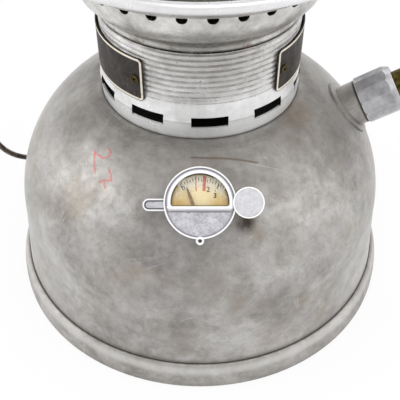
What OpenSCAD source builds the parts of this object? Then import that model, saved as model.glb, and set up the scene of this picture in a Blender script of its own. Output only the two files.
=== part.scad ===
// Kerosene pressure lantern with a pressure gauge in its filler cap.
// The foot rests on z = 0, the lantern's axis is Z, and the gauge looks along -Y.

/* [Tank] */
// Outer diameter of the foot ring
foot_d = 172; // [168:1:190]
// Height of the foot ring, where it is crimped on the tank
foot_h = 11.5; // [9:0.5:15]
// Diameter of the tank just above the foot ring
waist_d = 164.8; // [162:0.2:166]
// Diameter of the tank where its wall turns into the dome
tank_d = 159.5; // [157:0.5:162]
// Height at which the wall turns into the dome
dome_z = 39.4; // [37:0.2:42]
// Radius of the dome's curve
dome_r = 60.3; // [59:0.1:61]
// Diameter at which the dome eases into the land round the collar
land_d = 92; // [88:1:96]
// Rise of the land from the dome to the collar
land_rise = 1.1; // [0.6:0.1:2]
// Height of the neck above the land
neck_h = 4.4; // [3:0.2:5]
// Thickness of the tank's sheet
tank_wall = 1.2; // [0.8:0.1:1.6]
// Rise of the tank's bottom towards its middle
bottom_rise = 4; // [2:0.5:6]

/* [Filler cap and gauge] */
// Tilt of the gauge's axis above the horizontal
gauge_tilt = 45.6; // [44:0.2:48]
// Diameter of the filler cap
cap_d = 25; // [24:0.5:26]
// Height of the cap's face above the dome
cap_h = 11; // [10.6:0.2:13]
// Outer diameter of the filler neck
filler_d = 19; // [18:0.2:19.2]
// Wall of the filler neck
filler_wall = 1.3; // [1:0.1:1.6]
// Radius of the gauge window's round side
window_r = 10.1; // [9.4:0.1:10.3]
// How far the window reaches below the cap's centre
window_drop = 1.2; // [0.5:0.1:2]
// Radius of the window's lower corners
window_corner = 0.9; // [0.5:0.1:1.2]
// Reach of the cap's grip tab from the centre
tab_reach = 20; // [18:0.5:23]
// Width of the grip tab
tab_w = 4.3; // [3.6:0.1:5]
// Distance of the vent screw from the cap's centre
vent_x = 16.6; // [16.2:0.1:18]
// Diameter of the vent screw's head
vent_head_d = 10.7; // [9:0.1:12]
// Diameter of the vent screw's stem
vent_stem_d = 3; // [2.4:0.1:3.4]

/* [Pump] */
// Tilt of the pump above the horizontal
pump_tilt = 29.5; // [28:0.5:31]
// Angle on the dome's curve at which the pump leaves the tank
pump_place = 43.2; // [42.6:0.2:43.8]
// Outer diameter of the pump barrel
barrel_d = 16.4; // [15.6:0.2:16.8]
// Wall of the pump barrel
barrel_wall = 0.8; // [0.6:0.1:1]
// Diameter across the corners of the pump's ribbed cap
pump_cap_d = 20; // [19.6:0.2:22]
// Length of the pump's ribbed cap
pump_cap_l = 15; // [14:0.5:18]
// Number of flats round the pump cap
pump_flats = 12; // [8:1:12]
// Diameter of the plunger rod
rod_d = 5.8; // [5:0.2:6.4]
// Diameter of the brass pump knob
knob_d = 12.4; // [11:0.2:13.4]

/* [Collar and bowl] */
// Diameter of the collar's foot
collar_d = 79.6; // [78.8:0.2:82]
// Height of the slotted band at the collar's foot
collar_band = 15; // [13.5:0.5:16]
// Diameter over the collar's ribs
rib_d = 77.4; // [76.8:0.2:78.4]
// Number of ribs
ribs = 9; // [5:1:11]
// Distance from rib to rib
rib_pitch = 2.2; // [1.8:0.1:2.4]
// Depth of the groove between two ribs
rib_depth = 0.5; // [0.3:0.1:0.6]
// Thickness of the collar's sheet
sheet = 0.8; // [0.6:0.1:0.9]
// Number of air slots in the collar
slots = 10; // [6:1:10]
// Angle from slot to slot
slot_pitch = 34.5; // [30:0.5:34.5]
// Length of an air slot
slot_w = 13.6; // [8:0.2:15]
// Height of an air slot
slot_h = 4.3; // [3.4:0.1:5]
// Height of the label plates
plate_h = 17.6; // [14:0.2:18]
// Angle that one label plate covers
plate_arc = 78; // [50:1:80]
// Thickness of the label plates
plate_t = 0.5; // [0.3:0.1:0.8]
// Radius of the label plates' corners
plate_corner = 1.8; // [1:0.1:3]
// Diameter of the perforated wall of the bowl
bowl_d = 94; // [93:0.5:98]
// Diameter over the bowl's rolled rim
rim_d = 128.6; // [127:0.2:131]
// Height of the bowl's rim bead
rim_bead = 3.8; // [3:0.1:4.2]
// Number of air holes in the bowl
bowl_holes = 30; // [20:1:34]
// Diameter of an air hole
bowl_hole_d = 3.8; // [2.5:0.1:4.2]

/* [Burner] */
// Bearing of the hand wheel's spindle, from the front and towards the pump
wheel_bearing = 168; // [166:0.5:170]
// Height of the spindle above the tank's neck
spindle_up = 14; // [13:0.5:15]
// Diameter of the spindle
spindle_d = 4; // [3.4:0.1:4.2]
// Offset of the eccentric pin, half the needle's travel
throw = 1; // [0.6:0.1:1]
// Diameter of the hand wheel
wheel_d = 30; // [26:1:31]
// Diameter of the vaporizer tube
vap_d = 8; // [7.6:0.1:8.4]
// Sideways offset of the vaporizer's upper part
vap_off = 28; // [26:0.5:30]
// Height of the jet's tip above the foot
jet_z = 260; // [257:0.5:261]
// Diameter of the mixing tube
mix_d = 14; // [12:0.5:15]
// Diameter of the mantle
mantle_d = 30; // [26:1:32]
// Length of the mantle below the clay nozzle
mantle_l = 44; // [38:1:48]
// Height of the head, from its clay nozzle's seat to the mixing tube
head_h = 12.5; // [11:0.5:13]
// Diameter of the spirit cup
cup_d = 38; // [32:1:44]
// Depth of the spirit cup
cup_h = 9; // [7:0.5:11]

/* [Globe, frame and hood] */
// Outer diameter of the glass globe
globe_d = 101; // [100:0.5:102]
// Wall of the glass globe
globe_wall = 2.6; // [2:0.1:2.8]
// Height of the glass globe
globe_h = 107; // [104:0.5:108]
// Width of the four frame strips
strip_w = 12; // [8:0.5:12.5]
// Thickness of the frame strips
strip_t = 1; // [0.8:0.1:1.1]
// Height of the top ring
ring_h = 24; // [23:0.5:27]
// Distance between the bail's legs
bail_w = 130; // [129:0.5:133]
// Height above the table at which the bail's bow rests against the tank
bail_rest = 15.5; // [15:0.5:22]
// Thickness of the bail's wire
bail_t = 2.5; // [2:0.1:3]
// Height of the hood's slotted skirt
hood_skirt = 27; // [26:1:32]
// Diameter of the hood's chimney
chimney_d = 76; // [70:1:78]
// Height of the hood's chimney
chimney_h = 38; // [30:1:42]
// Diameter of the hood's cap
hood_cap_d = 90; // [84:1:96]
// Number of slots in the hood's skirt
skirt_slots = 24; // [12:1:28]
// Width of a slot in the skirt
skirt_slot_w = 4.4; // [3:0.2:6]
// Number of windows in the hood's chimney
chimney_slots = 12; // [8:1:14]
// Width of a window in the chimney
chimney_slot_w = 9; // [6:0.5:11]

/* [Clearances] */
// Gap between nested or stacked pieces
fit = 0.1; // [0.08:0.01:0.15]
// Gap of a running fit, on the radius
run = 0.05; // [0.03:0.01:0.08]
// Gap where a piece sits loosely on another
seat = 0.2; // [0.15:0.05:0.3]
// Gap between the pump's foot and the dip tube
pump_gap = 5.2; // [4:0.2:8]
// Gap between the mantle and the clay nozzle's lip
cloth_gap = 0.3; // [0.2:0.05:0.4]

/* [Hidden] */
$fn = 72;
eps = 0.01;

// Tank
foot_r = foot_d / 2;
waist_r = waist_d / 2;
tank_r = tank_d / 2;
land_r = land_d / 2;
dome_cr = tank_r - dome_r;
dome_a = acos((land_r - dome_cr) / dome_r);
land_z = dome_z + dome_r * sin(dome_a);
collar_z = land_z + land_rise + seat;
neck_r = collar_d / 2 - sheet - 3 * fit;
neck_z = land_z + land_rise + neck_h;
bush_r = 13;
bush_flange_r = 15;
shank_r = 8.5;
bottom_z = foot_h + 0.5;
bottom_top = bottom_z + bottom_rise;
flange_low = bottom_z - 4.5;

land_swell = 3.6;

// Point of the dome's surface, at a given angle of its curve
function dome_at(a) = [dome_cr + dome_r * cos(a), dome_z + dome_r * sin(a)];

// Filler cap, in heights above the dome along the gauge's axis
gauge_at = dome_at(gauge_tilt);
cap_r = cap_d / 2;
filler_r = filler_d / 2;
filler_flange_r = filler_r + 1;
filler_top = 4;
gasket_h = 1.6;
web_z = filler_top + gasket_h + 2 * fit;
chamber_z = web_z + 0.8;
chamber_r = cap_r - 1.3;
top_plate = 0.8;
chamber_top = cap_h - top_plate;
dial_z = chamber_z + 1.6;
dial_t = 0.4;
pivot_y = -7.2;
pivot_r = 0.6;
glass_t = 0.5;
glass_z = chamber_top - fit - glass_t;
pointer_z = dial_z + dial_t + 0.3;
pointer_rest = 20;
pointer_l = 13.5;
bezel_h = 1;
bezel_r = cap_r - 0.8;
bezel_drop = window_drop + 1.7;
rim_up = 0.4;
vent_head_z = cap_h + rim_up + 0.5;
vent_boss_top = cap_h - 1.6;

// Dip tube and foot valve
dip_r = 3.5;
foot_valve_r = 5.5;

// Pump, in distances along its axis from a point pump_sink under the dome
pump_sink = 3.9;
pump_at = dome_at(pump_place);
pump_x = pump_at[0] - pump_sink * cos(pump_tilt);
pump_z = pump_at[1] - pump_sink * sin(pump_tilt);
seat_flange_r = 12;
seat_top = 9.5;
barrel_r = barrel_d / 2;
barrel_bore = barrel_r - barrel_wall;
barrel_top = seat_top + 2.5;
seat_r = barrel_r + fit + 0.95;
cap_start = seat_top + fit;
cap_end = cap_start + pump_cap_l;
cap_web = barrel_top + 3 * fit;
knob_start = cap_end - 5.2;
rod_r = rod_d / 2;
knob_l = 10.5;
valve_r = 4.2;
valve_l = 6.6;
barrel_in = (pump_x - dip_r - pump_gap - valve_r * sin(pump_tilt)) / cos(pump_tilt) - valve_l;
plug_top = -barrel_in + 3.5;
leather_z = plug_top + 1.5;
leather_h = 7;
disc_t = 1.4;
piston_nut_z = leather_z + leather_h - 4.4;
rod_end = piston_nut_z - 1.5;

// Collar and bowl
band_z = collar_z + collar_band;
rib_r = rib_d / 2;
collar_bore = rib_r - rib_depth - sheet;
collar_top = band_z + ribs * rib_pitch;
slot_z = collar_z + 4.9;
slot_start = 5.2;
plate_r = rib_r + 2 * fit + 0.5;
plate_z = band_z - 2.6;
plate_left_end = -30.6;
plate_right_end = 44.4;
eyelet_inset = 5;
bowl_r = bowl_d / 2;
bowl_sleeve = 7;
bowl_z = collar_top + seat;
ledge_z = bowl_z + 21;
ledge_r = globe_d / 2 + 2.6;
rim_r = rim_d / 2;
bead_r = rim_bead / 2;
rim_z = ledge_z + 8.4;
bowl_hole_z = bowl_z + 17.5;

// Burner
spindle_z = neck_z + spindle_up;
spindle_r = spindle_d / 2;
bore_r = vap_d / 2 + fit;
block_r = bore_r - 0.2;
block_low = spindle_z - 4.4;
block_top = spindle_z + 4.4;
base_top = spindle_z + 10;
arm_l = 27;
packing_l = 6;
wheel_in = collar_d / 2 + 6.5;
wheel_t = 5;
vap_r = vap_d / 2;
vap_bore = vap_r - 1.2;
vap_start = block_top + 2 * throw + 0.4;
vap_bend_z = base_top + cup_h + 8;
bend_a = 50;
bend_r = 15;
bend_run = (vap_off - 2 * bend_r * (1 - cos(bend_a))) / sin(bend_a);
vap_top_z = vap_bend_z + 2 * bend_r * sin(bend_a) + bend_run * cos(bend_a);
jet_seat = jet_z - 6.2;
mix_r = mix_d / 2;
mix_in = jet_z + 4;
mix_z = jet_z + 12;
head_low = mix_z - 22;
nozzle_h = 14;
nozzle_low = head_low - nozzle_h;
nozzle_lip = 9.6;
nozzle_neck = 9;
mantle_t = 0.5;
cup_r = cup_d / 2;

// Globe and frame
globe_r = globe_d / 2;
globe_z = ledge_z + sheet + seat;
globe_top = globe_z + globe_h;
ring_top = globe_top + 21;
ring_low = ring_top - ring_h;
ring_r = globe_r + 6.8;
lip_z = ring_top - 4;
strip_r = ring_r - sheet - 0.5;
strip_top = lip_z - 1;
rivet_z = ring_low + 3.5;
pivot_z = ring_low + 10;
bail_r = bail_t / 2;
bail_half = bail_w / 2;
bail_bearing = 45;
bail_out = waist_r + bail_r;
bail_reach = sqrt(pow(bail_out, 2) + pow(pivot_z - bail_rest, 2));
bail_lean = asin(bail_out / bail_reach);
bush_out = bail_half - 3;

// Hood
hood_r = ring_r + 0.5 + sheet;
hood_low = ring_top - 6;
skirt_top = hood_low + hood_skirt;
chimney_r = chimney_d / 2;
shoulder_h = 20;
slot_margin = 9;
chimney_z = skirt_top + shoulder_h;
chimney_top = chimney_z + chimney_h;
hood_cap_r = hood_cap_d / 2;
hood_cap_z = chimney_top + seat;
hood_cap_h = 24;
nut_z = hood_cap_z + hood_cap_h + fit;
nut_h = 13;
inner_r = globe_r - globe_wall - 1.4;
vent_r = 38;
bridge_z = mix_z + vap_off / 2 + mix_r + 3 * fit;
bridge_t = 1.5;
stud_r = 2.5;
stud_top = nut_z + nut_h - 4;

dull_alu = "#a9a7a2";
bright_alu = "#cfcfcd";
nickel = "#c9c6bd";
brass = "#b8974e";
steel = "#5b534c";

function arc(c, r, a0, a1, n) =
    [for (i = [0:n]) [c[0] + r * cos(a0 + (a1 - a0) * i / n), c[1] + r * sin(a0 + (a1 - a0) * i / n)]];
// Curve from a, where it leaves along d, to b
function ease(a, d, b, n) = [for (i = [1:n]) let (t = i / n)
    (1 - t) * (1 - t) * a + 2 * t * (1 - t) * (a + d) + t * t * b];
function back(v) = [for (i = [len(v) - 1:-1:0]) v[i]];
// Outline of a sheet of thickness t that follows the line v, offset towards the axis
function sheet_line(v, w) = concat(v, back(w));

// A tube or disc on Z from z0 to z1
module ring(r1, r0, z0, z1) {
    difference() {
        translate([0, 0, z0]) cylinder(r = r1, h = z1 - z0);
        if (r0 > 0) translate([0, 0, z0 - 1]) cylinder(r = r0, h = z1 - z0 + 2);
    }
}
module disc(r, z0, z1) {
    translate([0, 0, z0]) cylinder(r = r, h = z1 - z0);
}
// Places children at a bearing from the front, turned so that their X points outwards
module bearing(a) {
    rotate([0, 0, a - 90]) children();
}
// The gauge's frame: Z out of its face, X to the right, Y up along the face
module gauge_frame() {
    translate([0, -gauge_at[0], gauge_at[1]]) rotate([90 - gauge_tilt, 0, 0]) children();
}
// The pump's frame: Z outwards along the barrel
module pump_frame() {
    translate([pump_x, 0, pump_z]) rotate([0, 90 - pump_tilt, 0]) children();
}
// The spindle's frame: Z outwards along the spindle, X down
module spindle_frame() {
    translate([0, 0, spindle_z]) rotate([0, 90, wheel_bearing - 90]) children();
}
// The bail's frame: X along its pivots, Z against its legs
module bail_frame() {
    translate([0, 0, pivot_z]) rotate([0, 0, bail_bearing]) rotate([bail_lean, 0, 0]) children();
}

// Tank
function tank_line(o, z0) = concat(
    [[waist_r + o, z0], [waist_r + o, foot_h]],
    arc([dome_cr, dome_z], dome_r + o, 0, dome_a, 18),
    ease(
        [dome_cr + (dome_r + o) * cos(dome_a), dome_z + (dome_r + o) * sin(dome_a)],
        [-land_swell * sin(dome_a), land_swell * cos(dome_a)],
        [neck_r + o, land_z + land_rise + o], 5
    ),
    [[neck_r + o, neck_z + o]]
);
module tank_solid(o) {
    rotate_extrude() polygon(concat([[0, 4]], tank_line(o, 4), [[0, neck_z + o]]));
}
module tank_shell() {
    color(dull_alu) difference() {
        rotate_extrude() polygon(concat(
            tank_line(0, 4),
            [[bush_r + fit, neck_z], [bush_r + fit, neck_z - tank_wall]],
            back(tank_line(-tank_wall, 4))
        ));
        pump_frame() disc(seat_flange_r + fit, -10, 14);
        gauge_frame() disc(filler_flange_r + fit, -6, 6);
    }
}
module tank_bottom() {
    r = waist_r - tank_wall - fit;
    color(dull_alu) rotate_extrude() polygon(concat(
        [[0, bottom_top - tank_wall]],
        [[r * 0.6, bottom_z + bottom_rise * 0.55 - tank_wall], [r - tank_wall, bottom_z - tank_wall]],
        [[r - tank_wall, flange_low], [r, flange_low], [r, bottom_z],
            [r * 0.6, bottom_z + bottom_rise * 0.55]],
        [[0, bottom_top]]
    ));
}
module base_ring() {
    i = waist_r + fit;
    color(dull_alu) rotate_extrude() polygon(concat(
        [for (k = [0:8]) let (a = 90 * k / 8)
            [i + (foot_r - i) * sin(a), 2.2 + (foot_h - 1.9) * cos(a)]],
        [[foot_r, 0.5], [foot_r - 0.5, 0]],
        [[foot_r - 1.8, 0], [foot_r - 1.8, 2.6], [i + 0.6, 5], [i, 5]]
    ));
}
module center_bush() {
    color(brass) difference() {
        union() {
            disc(bush_r, neck_z - 7, neck_z + fit);
            disc(bush_flange_r, neck_z + fit, neck_z + 1.6);
        }
        disc(shank_r + fit, neck_z - 8, neck_z + 3);
    }
}

// Filler neck and cap
module filler_neck() {
    color(dull_alu) difference() {
        union() {
            intersection() {
                gauge_frame() disc(filler_flange_r, -4, 5);
                tank_solid(0.5);
            }
            gauge_frame() disc(filler_r, -4, filler_top);
        }
        gauge_frame() disc(filler_r - filler_wall, -5, filler_top + 1);
    }
}
module cap_gasket() {
    color("#2b2927") gauge_frame()
        ring(filler_r + fit, filler_r - filler_wall, filler_top + fit, filler_top + fit + gasket_h);
}
// A circle cut off straight below its centre, with round lower corners
module d_shape(r, drop, q) {
    x = sqrt(pow(r - q, 2) - pow(drop - q, 2));
    intersection() {
        circle(r = r);
        polygon(concat(
            [[-r - 1, r + 1], [-r - 1, q - drop]], arc([-x, q - drop], q, 195, 270, 5),
            arc([x, q - drop], q, 270, 345, 5), [[r + 1, q - drop], [r + 1, r + 1]]
        ));
    }
}
module tab_shape(inset) {
    translate([-tab_reach + tab_w / 2, 0]) circle(r = tab_w / 2 - inset);
    translate([-tab_reach + tab_w / 2, -tab_w / 2 + inset])
        square([tab_reach - tab_w / 2 - cap_r + 0.6 - inset, tab_w - 2 * inset]);
}
module filler_cap() {
    ear_y = -cap_r - 0.6;
    color(bright_alu) gauge_frame() difference() {
        union() {
            disc(cap_r, 1, cap_h);
            ring(cap_r, cap_r - 0.5, cap_h - eps, cap_h + rim_up);
            translate([0, 0, cap_h - eps]) linear_extrude(bezel_h / 2 + eps) d_shape(bezel_r, bezel_drop, 1.4);
            translate([0, 0, cap_h + bezel_h / 2 - eps])
                linear_extrude(bezel_h / 2 + eps) d_shape(bezel_r - 0.4, bezel_drop - 0.4, 1.2);
            translate([0, -0.6, 4.5]) linear_extrude(3) tab_shape(0);
            translate([vent_x, 0, 0]) disc(4.2, 3.4, vent_boss_top);
            translate([cap_r - 2, -3, 3.4]) cube([vent_x - cap_r + 2, 6, vent_boss_top - 4.4]);
            translate([0, ear_y, 0]) disc(1.45, 7, 9);
            translate([-1.45, ear_y, 7]) cube([2.9, 2, 2]);
        }
        disc(filler_r + 2 * fit, 0, web_z);
        disc(chamber_r, chamber_z, chamber_top);
        disc(0.8, web_z - 1, chamber_z + 1);
        translate([0, 0, chamber_top - 1]) linear_extrude(5) d_shape(window_r, window_drop, window_corner);
        translate([0, -0.6, 7]) linear_extrude(2) tab_shape(0.6);
        translate([vent_x, 0, 0]) disc(vent_stem_d / 2 + run, 4.6, vent_boss_top + 1);
        translate([filler_r - 1, 0, 5]) rotate([0, 90, 0]) cylinder(r = 0.6, h = vent_x - filler_r + 1);
        translate([0, ear_y, 0]) disc(0.5, 6, 10);
    }
}
module bourdon_tube() {
    color(brass) gauge_frame() {
        translate([0, 0, chamber_z + fit]) rotate([0, 0, -60]) rotate_extrude(angle = 290)
            translate([8.2, 0]) square([1, 1.2]);
    }
}
module gauge_dial() {
    color("#e6d8a8") gauge_frame() difference() {
        disc(chamber_r - fit, dial_z, dial_z + dial_t);
        translate([0, pivot_y, 0]) disc(pivot_r + run, dial_z - 1, dial_z + 1);
    }
}
module gauge_pointer() {
    color("#4a3424") gauge_frame() translate([0, pivot_y, 0]) {
        disc(pivot_r, dial_z - 0.3, pointer_z + 0.3);
        difference() {
            disc(1.4, pointer_z, pointer_z + 0.3);
            disc(pivot_r - 0.2, pointer_z - 1, pointer_z - 0.5);
        }
        rotate([0, 0, pointer_rest]) translate([0, 0, pointer_z]) linear_extrude(0.3)
            polygon([
                [-0.9, -1.9], [0.9, -1.9], [0.6, 0], [0.55, pointer_l * 0.75], [0.1, pointer_l],
                [-0.1, pointer_l], [-0.55, pointer_l * 0.75], [-0.6, 0]
            ]);
    }
}
module gauge_glass() {
    color("#dfe8e6") gauge_frame() disc(chamber_r - fit, glass_z, glass_z + glass_t);
}
module vent_screw() {
    color(bright_alu) gauge_frame() translate([vent_x, 0, 0]) difference() {
        union() {
            disc(vent_stem_d / 2, 6.2, vent_head_z);
            translate([0, 0, 5]) cylinder(r1 = 0.5, r2 = vent_stem_d / 2, h = 1.2);
            disc(2.4, vent_boss_top + fit, vent_head_z);
            disc(vent_head_d / 2, vent_head_z, vent_head_z + 1.6);
        }
        ring(vent_head_d / 2 - 0.4, 0, vent_head_z + 1.4, vent_head_z + 3);
    }
}

// Pump
module pump_seat() {
    color(dull_alu) difference() {
        union() {
            intersection() {
                pump_frame() disc(seat_flange_r, -3.5, seat_top - 0.5);
                tank_solid(0.9);
            }
            pump_frame() disc(seat_r, -3.5, seat_top);
        }
        pump_frame() disc(barrel_r + fit, -5, seat_top + 1);
    }
}
module pump_barrel() {
    color(nickel) pump_frame() ring(barrel_r, barrel_bore, -barrel_in, barrel_top);
}
module pump_valve() {
    color(brass) pump_frame() difference() {
        union() {
            disc(barrel_bore - fit, -barrel_in - fit, plug_top);
            disc(barrel_r, -barrel_in - 3, -barrel_in - fit);
            disc(valve_r, -barrel_in - valve_l, -barrel_in - 3);
        }
        disc(3.1, -barrel_in - valve_l + 0.8, -barrel_in - 1);
        disc(1.1, -barrel_in - 8, -barrel_in + 5);
    }
}
module valve_pip() {
    color("#2b2927") pump_frame() disc(2.9, -barrel_in - 2.5, -barrel_in - 1 - fit);
}
module valve_spring() {
    color(steel) pump_frame() ring(2.6, 1.5, -barrel_in - valve_l + 0.9, -barrel_in - 4);
}
module pump_cap() {
    color(bright_alu) pump_frame() difference() {
        intersection() {
            translate([0, 0, cap_start]) cylinder(r = pump_cap_d / 2, h = pump_cap_l, $fn = pump_flats);
            rotate_extrude() polygon([
                [0, cap_start - 1], [seat_r + 0.2, cap_start - 1], [pump_cap_d / 2 + 0.1, cap_start + 1],
                [pump_cap_d / 2 + 0.1, cap_end - 3], [pump_cap_d / 2 - 1.3, cap_end], [0, cap_end]
            ]);
        }
        disc(barrel_r + fit, cap_start - 1, cap_web);
        disc(rod_r + fit, cap_start, cap_end + 1);
        disc(knob_d / 2 + 1.2, knob_start - 0.3, cap_end + 1);
    }
}
module pump_rod() {
    color(steel) pump_frame() {
        disc(rod_r, leather_z + leather_h + disc_t + fit, knob_start + 3);
        disc(rod_r - 1, rod_end, leather_z + leather_h + disc_t + fit);
    }
}
module pump_knob() {
    color(brass) pump_frame() difference() {
        union() {
            disc(knob_d / 2, knob_start, knob_start + knob_l - 1);
            translate([0, 0, knob_start + knob_l - 1])
                cylinder(r1 = knob_d / 2, r2 = knob_d / 2 - 1.2, h = 1);
        }
        disc(rod_r + fit, knob_start - 1, knob_start + 3 + fit);
    }
}
module pump_leather() {
    color("#6d4a2c") pump_frame() rotate_extrude() polygon([
        [rod_r - 1 + fit, leather_z + leather_h - 1.4], [barrel_bore - 1.6, leather_z + leather_h - 1.4],
        [barrel_bore - 1.4, leather_z], [barrel_bore - run, leather_z],
        [barrel_bore - run, leather_z + leather_h], [rod_r - 1 + fit, leather_z + leather_h]
    ]);
}
module piston_disc() {
    color(brass) pump_frame()
        ring(6, rod_r - 1 + fit, leather_z + leather_h + fit / 2, leather_z + leather_h + disc_t);
}
module piston_nut() {
    color(brass) pump_frame() difference() {
        translate([0, 0, piston_nut_z]) cylinder(r = 4.2, h = 2.9, $fn = 6);
        disc(rod_r - 1 + fit, leather_z, leather_z + leather_h);
    }
}

// Collar
module collar() {
    foot_o = collar_d / 2;
    grooves = [for (i = [0:ribs - 1]) each [
        [rib_r, band_z + (i + 0.15) * rib_pitch], [rib_r, band_z + (i + 0.6) * rib_pitch],
        [rib_r - rib_depth, band_z + (i + 0.78) * rib_pitch],
        [rib_r - rib_depth, band_z + (i + 0.97) * rib_pitch]
    ]];
    color(bright_alu) difference() {
        rotate_extrude() polygon(concat(
            [[foot_o, collar_z], [foot_o + 0.4, slot_z + slot_h / 2], [rib_r + 0.1, band_z - 0.6]],
            grooves,
            [[rib_r - rib_depth, collar_top], [collar_bore, collar_top], [collar_bore, band_z]],
            [[foot_o + 0.4 - sheet, slot_z + slot_h / 2], [foot_o - sheet, collar_z]]
        ));
        for (i = [0:slots - 1])
            bearing(slot_start + (i - floor(slots / 2)) * slot_pitch)
                translate([foot_o - 5, -slot_w / 2, slot_z]) cube([10, slot_w, slot_h]);
        spindle_frame() disc(6, collar_bore - 3, collar_d / 2 + 3);
        for (a = eyelet_bearings()) eyelet_at(a) disc(1 + fit, -4, 4);
    }
}
function eyelet_bearings() = [
    plate_left_end - eyelet_inset, plate_left_end - plate_arc + eyelet_inset,
    plate_right_end + eyelet_inset, plate_right_end + plate_arc - eyelet_inset
];
module eyelet_at(a) {
    bearing(a) translate([plate_r, 0, plate_z + plate_h / 2]) rotate([0, 90, 0]) children();
}
// What rounds a label plate's corner; s and t point from the corner into the plate
module corner_cut(a, z, s, t) {
    c = plate_corner;
    line = concat([[-1, -1], [c * 0.88, -1]], arc([c, c], c, 260, 190, 6), [[-1, c * 0.88]]);
    bearing(a) translate([plate_r - 2, 0, z]) rotate([90, 0, 90])
        linear_extrude(4) polygon([for (p = line) [s * p[0], t * p[1]]]);
}
module label_plate(a, holes) {
    difference() {
        bearing(a) rotate_extrude(angle = plate_arc)
            translate([plate_r, plate_z]) square([plate_t, plate_h]);
        for (t = [1, -1]) {
            corner_cut(a, t > 0 ? plate_z : plate_z + plate_h, 1, t);
            corner_cut(a + plate_arc, t > 0 ? plate_z : plate_z + plate_h, -1, t);
        }
        for (h = holes) eyelet_at(h) disc(1 + fit, -4, 4);
    }
}
module plate_left() {
    e = eyelet_bearings();
    color("#4a423e") label_plate(plate_left_end - plate_arc, [e[0], e[1]]);
}
module plate_right() {
    e = eyelet_bearings();
    color("#4a423e") label_plate(plate_right_end, [e[2], e[3]]);
}
module plate_eyelets() {
    color(brass) for (a = eyelet_bearings()) eyelet_at(a) difference() {
        union() {
            disc(1, collar_bore - plate_r - 0.4, plate_t + fit);
            disc(1.8, plate_t + fit, plate_t + fit + 0.4);
        }
        disc(0.6, -5, 5);
    }
}

// Bowl that carries the globe and the frame
function bowl_line() = [
    [collar_bore - fit, bowl_z - bowl_sleeve], [collar_bore - fit, bowl_z],
    [rib_r, bowl_z], [rib_r + 0.1, bowl_z + 3.8],
    [bowl_r - 4.6, bowl_z + 6], [bowl_r - 2.4, bowl_z + 8.5], [bowl_r - 0.7, bowl_z + 11.6],
    [bowl_r, bowl_z + 15], [bowl_r, ledge_z], [ledge_r, ledge_z],
    [rim_r - bead_r, rim_z - 0.9 * bead_r]
];
function bowl_inside() = [
    [collar_bore - fit - sheet, bowl_z - bowl_sleeve], [collar_bore - fit - sheet, bowl_z + sheet],
    [rib_r - sheet, bowl_z + sheet], [rib_r + 0.1 - sheet, bowl_z + 3.8 + sheet / 2],
    [bowl_r - 4.6 - sheet / 2, bowl_z + 6 + sheet], [bowl_r - 2.4 - sheet, bowl_z + 8.5 + sheet / 2],
    [bowl_r - 0.7 - sheet, bowl_z + 11.6 + sheet / 2], [bowl_r - sheet, bowl_z + 15],
    [bowl_r - sheet, ledge_z + sheet], [ledge_r - sheet / 2, ledge_z + sheet],
    [rim_r - bead_r, rim_z - 0.9 * bead_r + sheet]
];
module gallery_bowl() {
    color(bright_alu) difference() {
        union() {
            rotate_extrude() polygon(concat(bowl_line(), back(bowl_inside())));
            rotate_extrude() translate([rim_r - bead_r, rim_z]) circle(r = bead_r, $fn = 32);
        }
        for (i = [0:bowl_holes - 1])
            bearing((i + 0.5) * 360 / bowl_holes - 1) translate([bowl_r - 4, 0, bowl_hole_z])
                rotate([0, 90, 0]) cylinder(r = bowl_hole_d / 2, h = 8);
    }
}

// Burner
module vaporizer_base() {
    color(brass) difference() {
        union() {
            disc(shank_r, neck_z - 11, neck_z + 1.6 + fit);
            translate([0, 0, neck_z + 1.6 + fit]) cylinder(r = 15, h = 4.4, $fn = 6);
            disc(9.5, neck_z + 6, base_top);
            spindle_frame() disc(5.5, 0, arm_l);
        }
        disc(bore_r, neck_z + 6.4, base_top + 1);
        disc(2.4, neck_z - 2, neck_z + 7);
        disc(dip_r + fit, neck_z - 12, neck_z - 1);
        spindle_frame() disc(spindle_r + run, 3, arm_l + 1);
    }
}
module packing_nut() {
    color(brass) spindle_frame() difference() {
        translate([0, 0, arm_l + fit]) cylinder(r = 7, h = packing_l, $fn = 6);
        disc(spindle_r + run, arm_l - 1, arm_l + packing_l + 2);
    }
}
module spindle() {
    color(steel) spindle_frame() {
        disc(spindle_r, block_r + 0.3, wheel_in + wheel_t);
        translate([throw, 0, 0]) disc(0.8, 1.6, block_r + 0.4);
    }
}
module hand_wheel() {
    wheel_r = wheel_d / 2;
    color("#3a2a22") spindle_frame() difference() {
        union() {
            ring(wheel_r, wheel_r - 4, wheel_in + 0.5, wheel_in + wheel_t - 0.5);
            disc(5, wheel_in, wheel_in + wheel_t);
            for (a = [0:90:270]) rotate([0, 0, a])
                translate([3, -1.75, wheel_in + 1.2]) cube([wheel_r - 5.5, 3.5, wheel_t - 2.4]);
        }
        disc(spindle_r + fit, wheel_in - 1, wheel_in + wheel_t + 1);
    }
}
module wheel_screw() {
    color(brass) spindle_frame() difference() {
        disc(3.6, wheel_in + wheel_t + fit, wheel_in + wheel_t + 2);
        translate([-0.5, -5, wheel_in + wheel_t + 1.3]) cube([1, 10, 2]);
    }
}
module lift_block() {
    color(steel) difference() {
        union() {
            disc(block_r, block_low, block_top);
            disc(1.2, neck_z - 6, block_low);
        }
        spindle_frame() translate([throw - 1.25, -throw - 1.2, 0.9]) cube([2.5, 2 * throw + 2.4, 6]);
        disc(0.8 + fit, block_top - 2, block_top + 1);
    }
}
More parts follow.
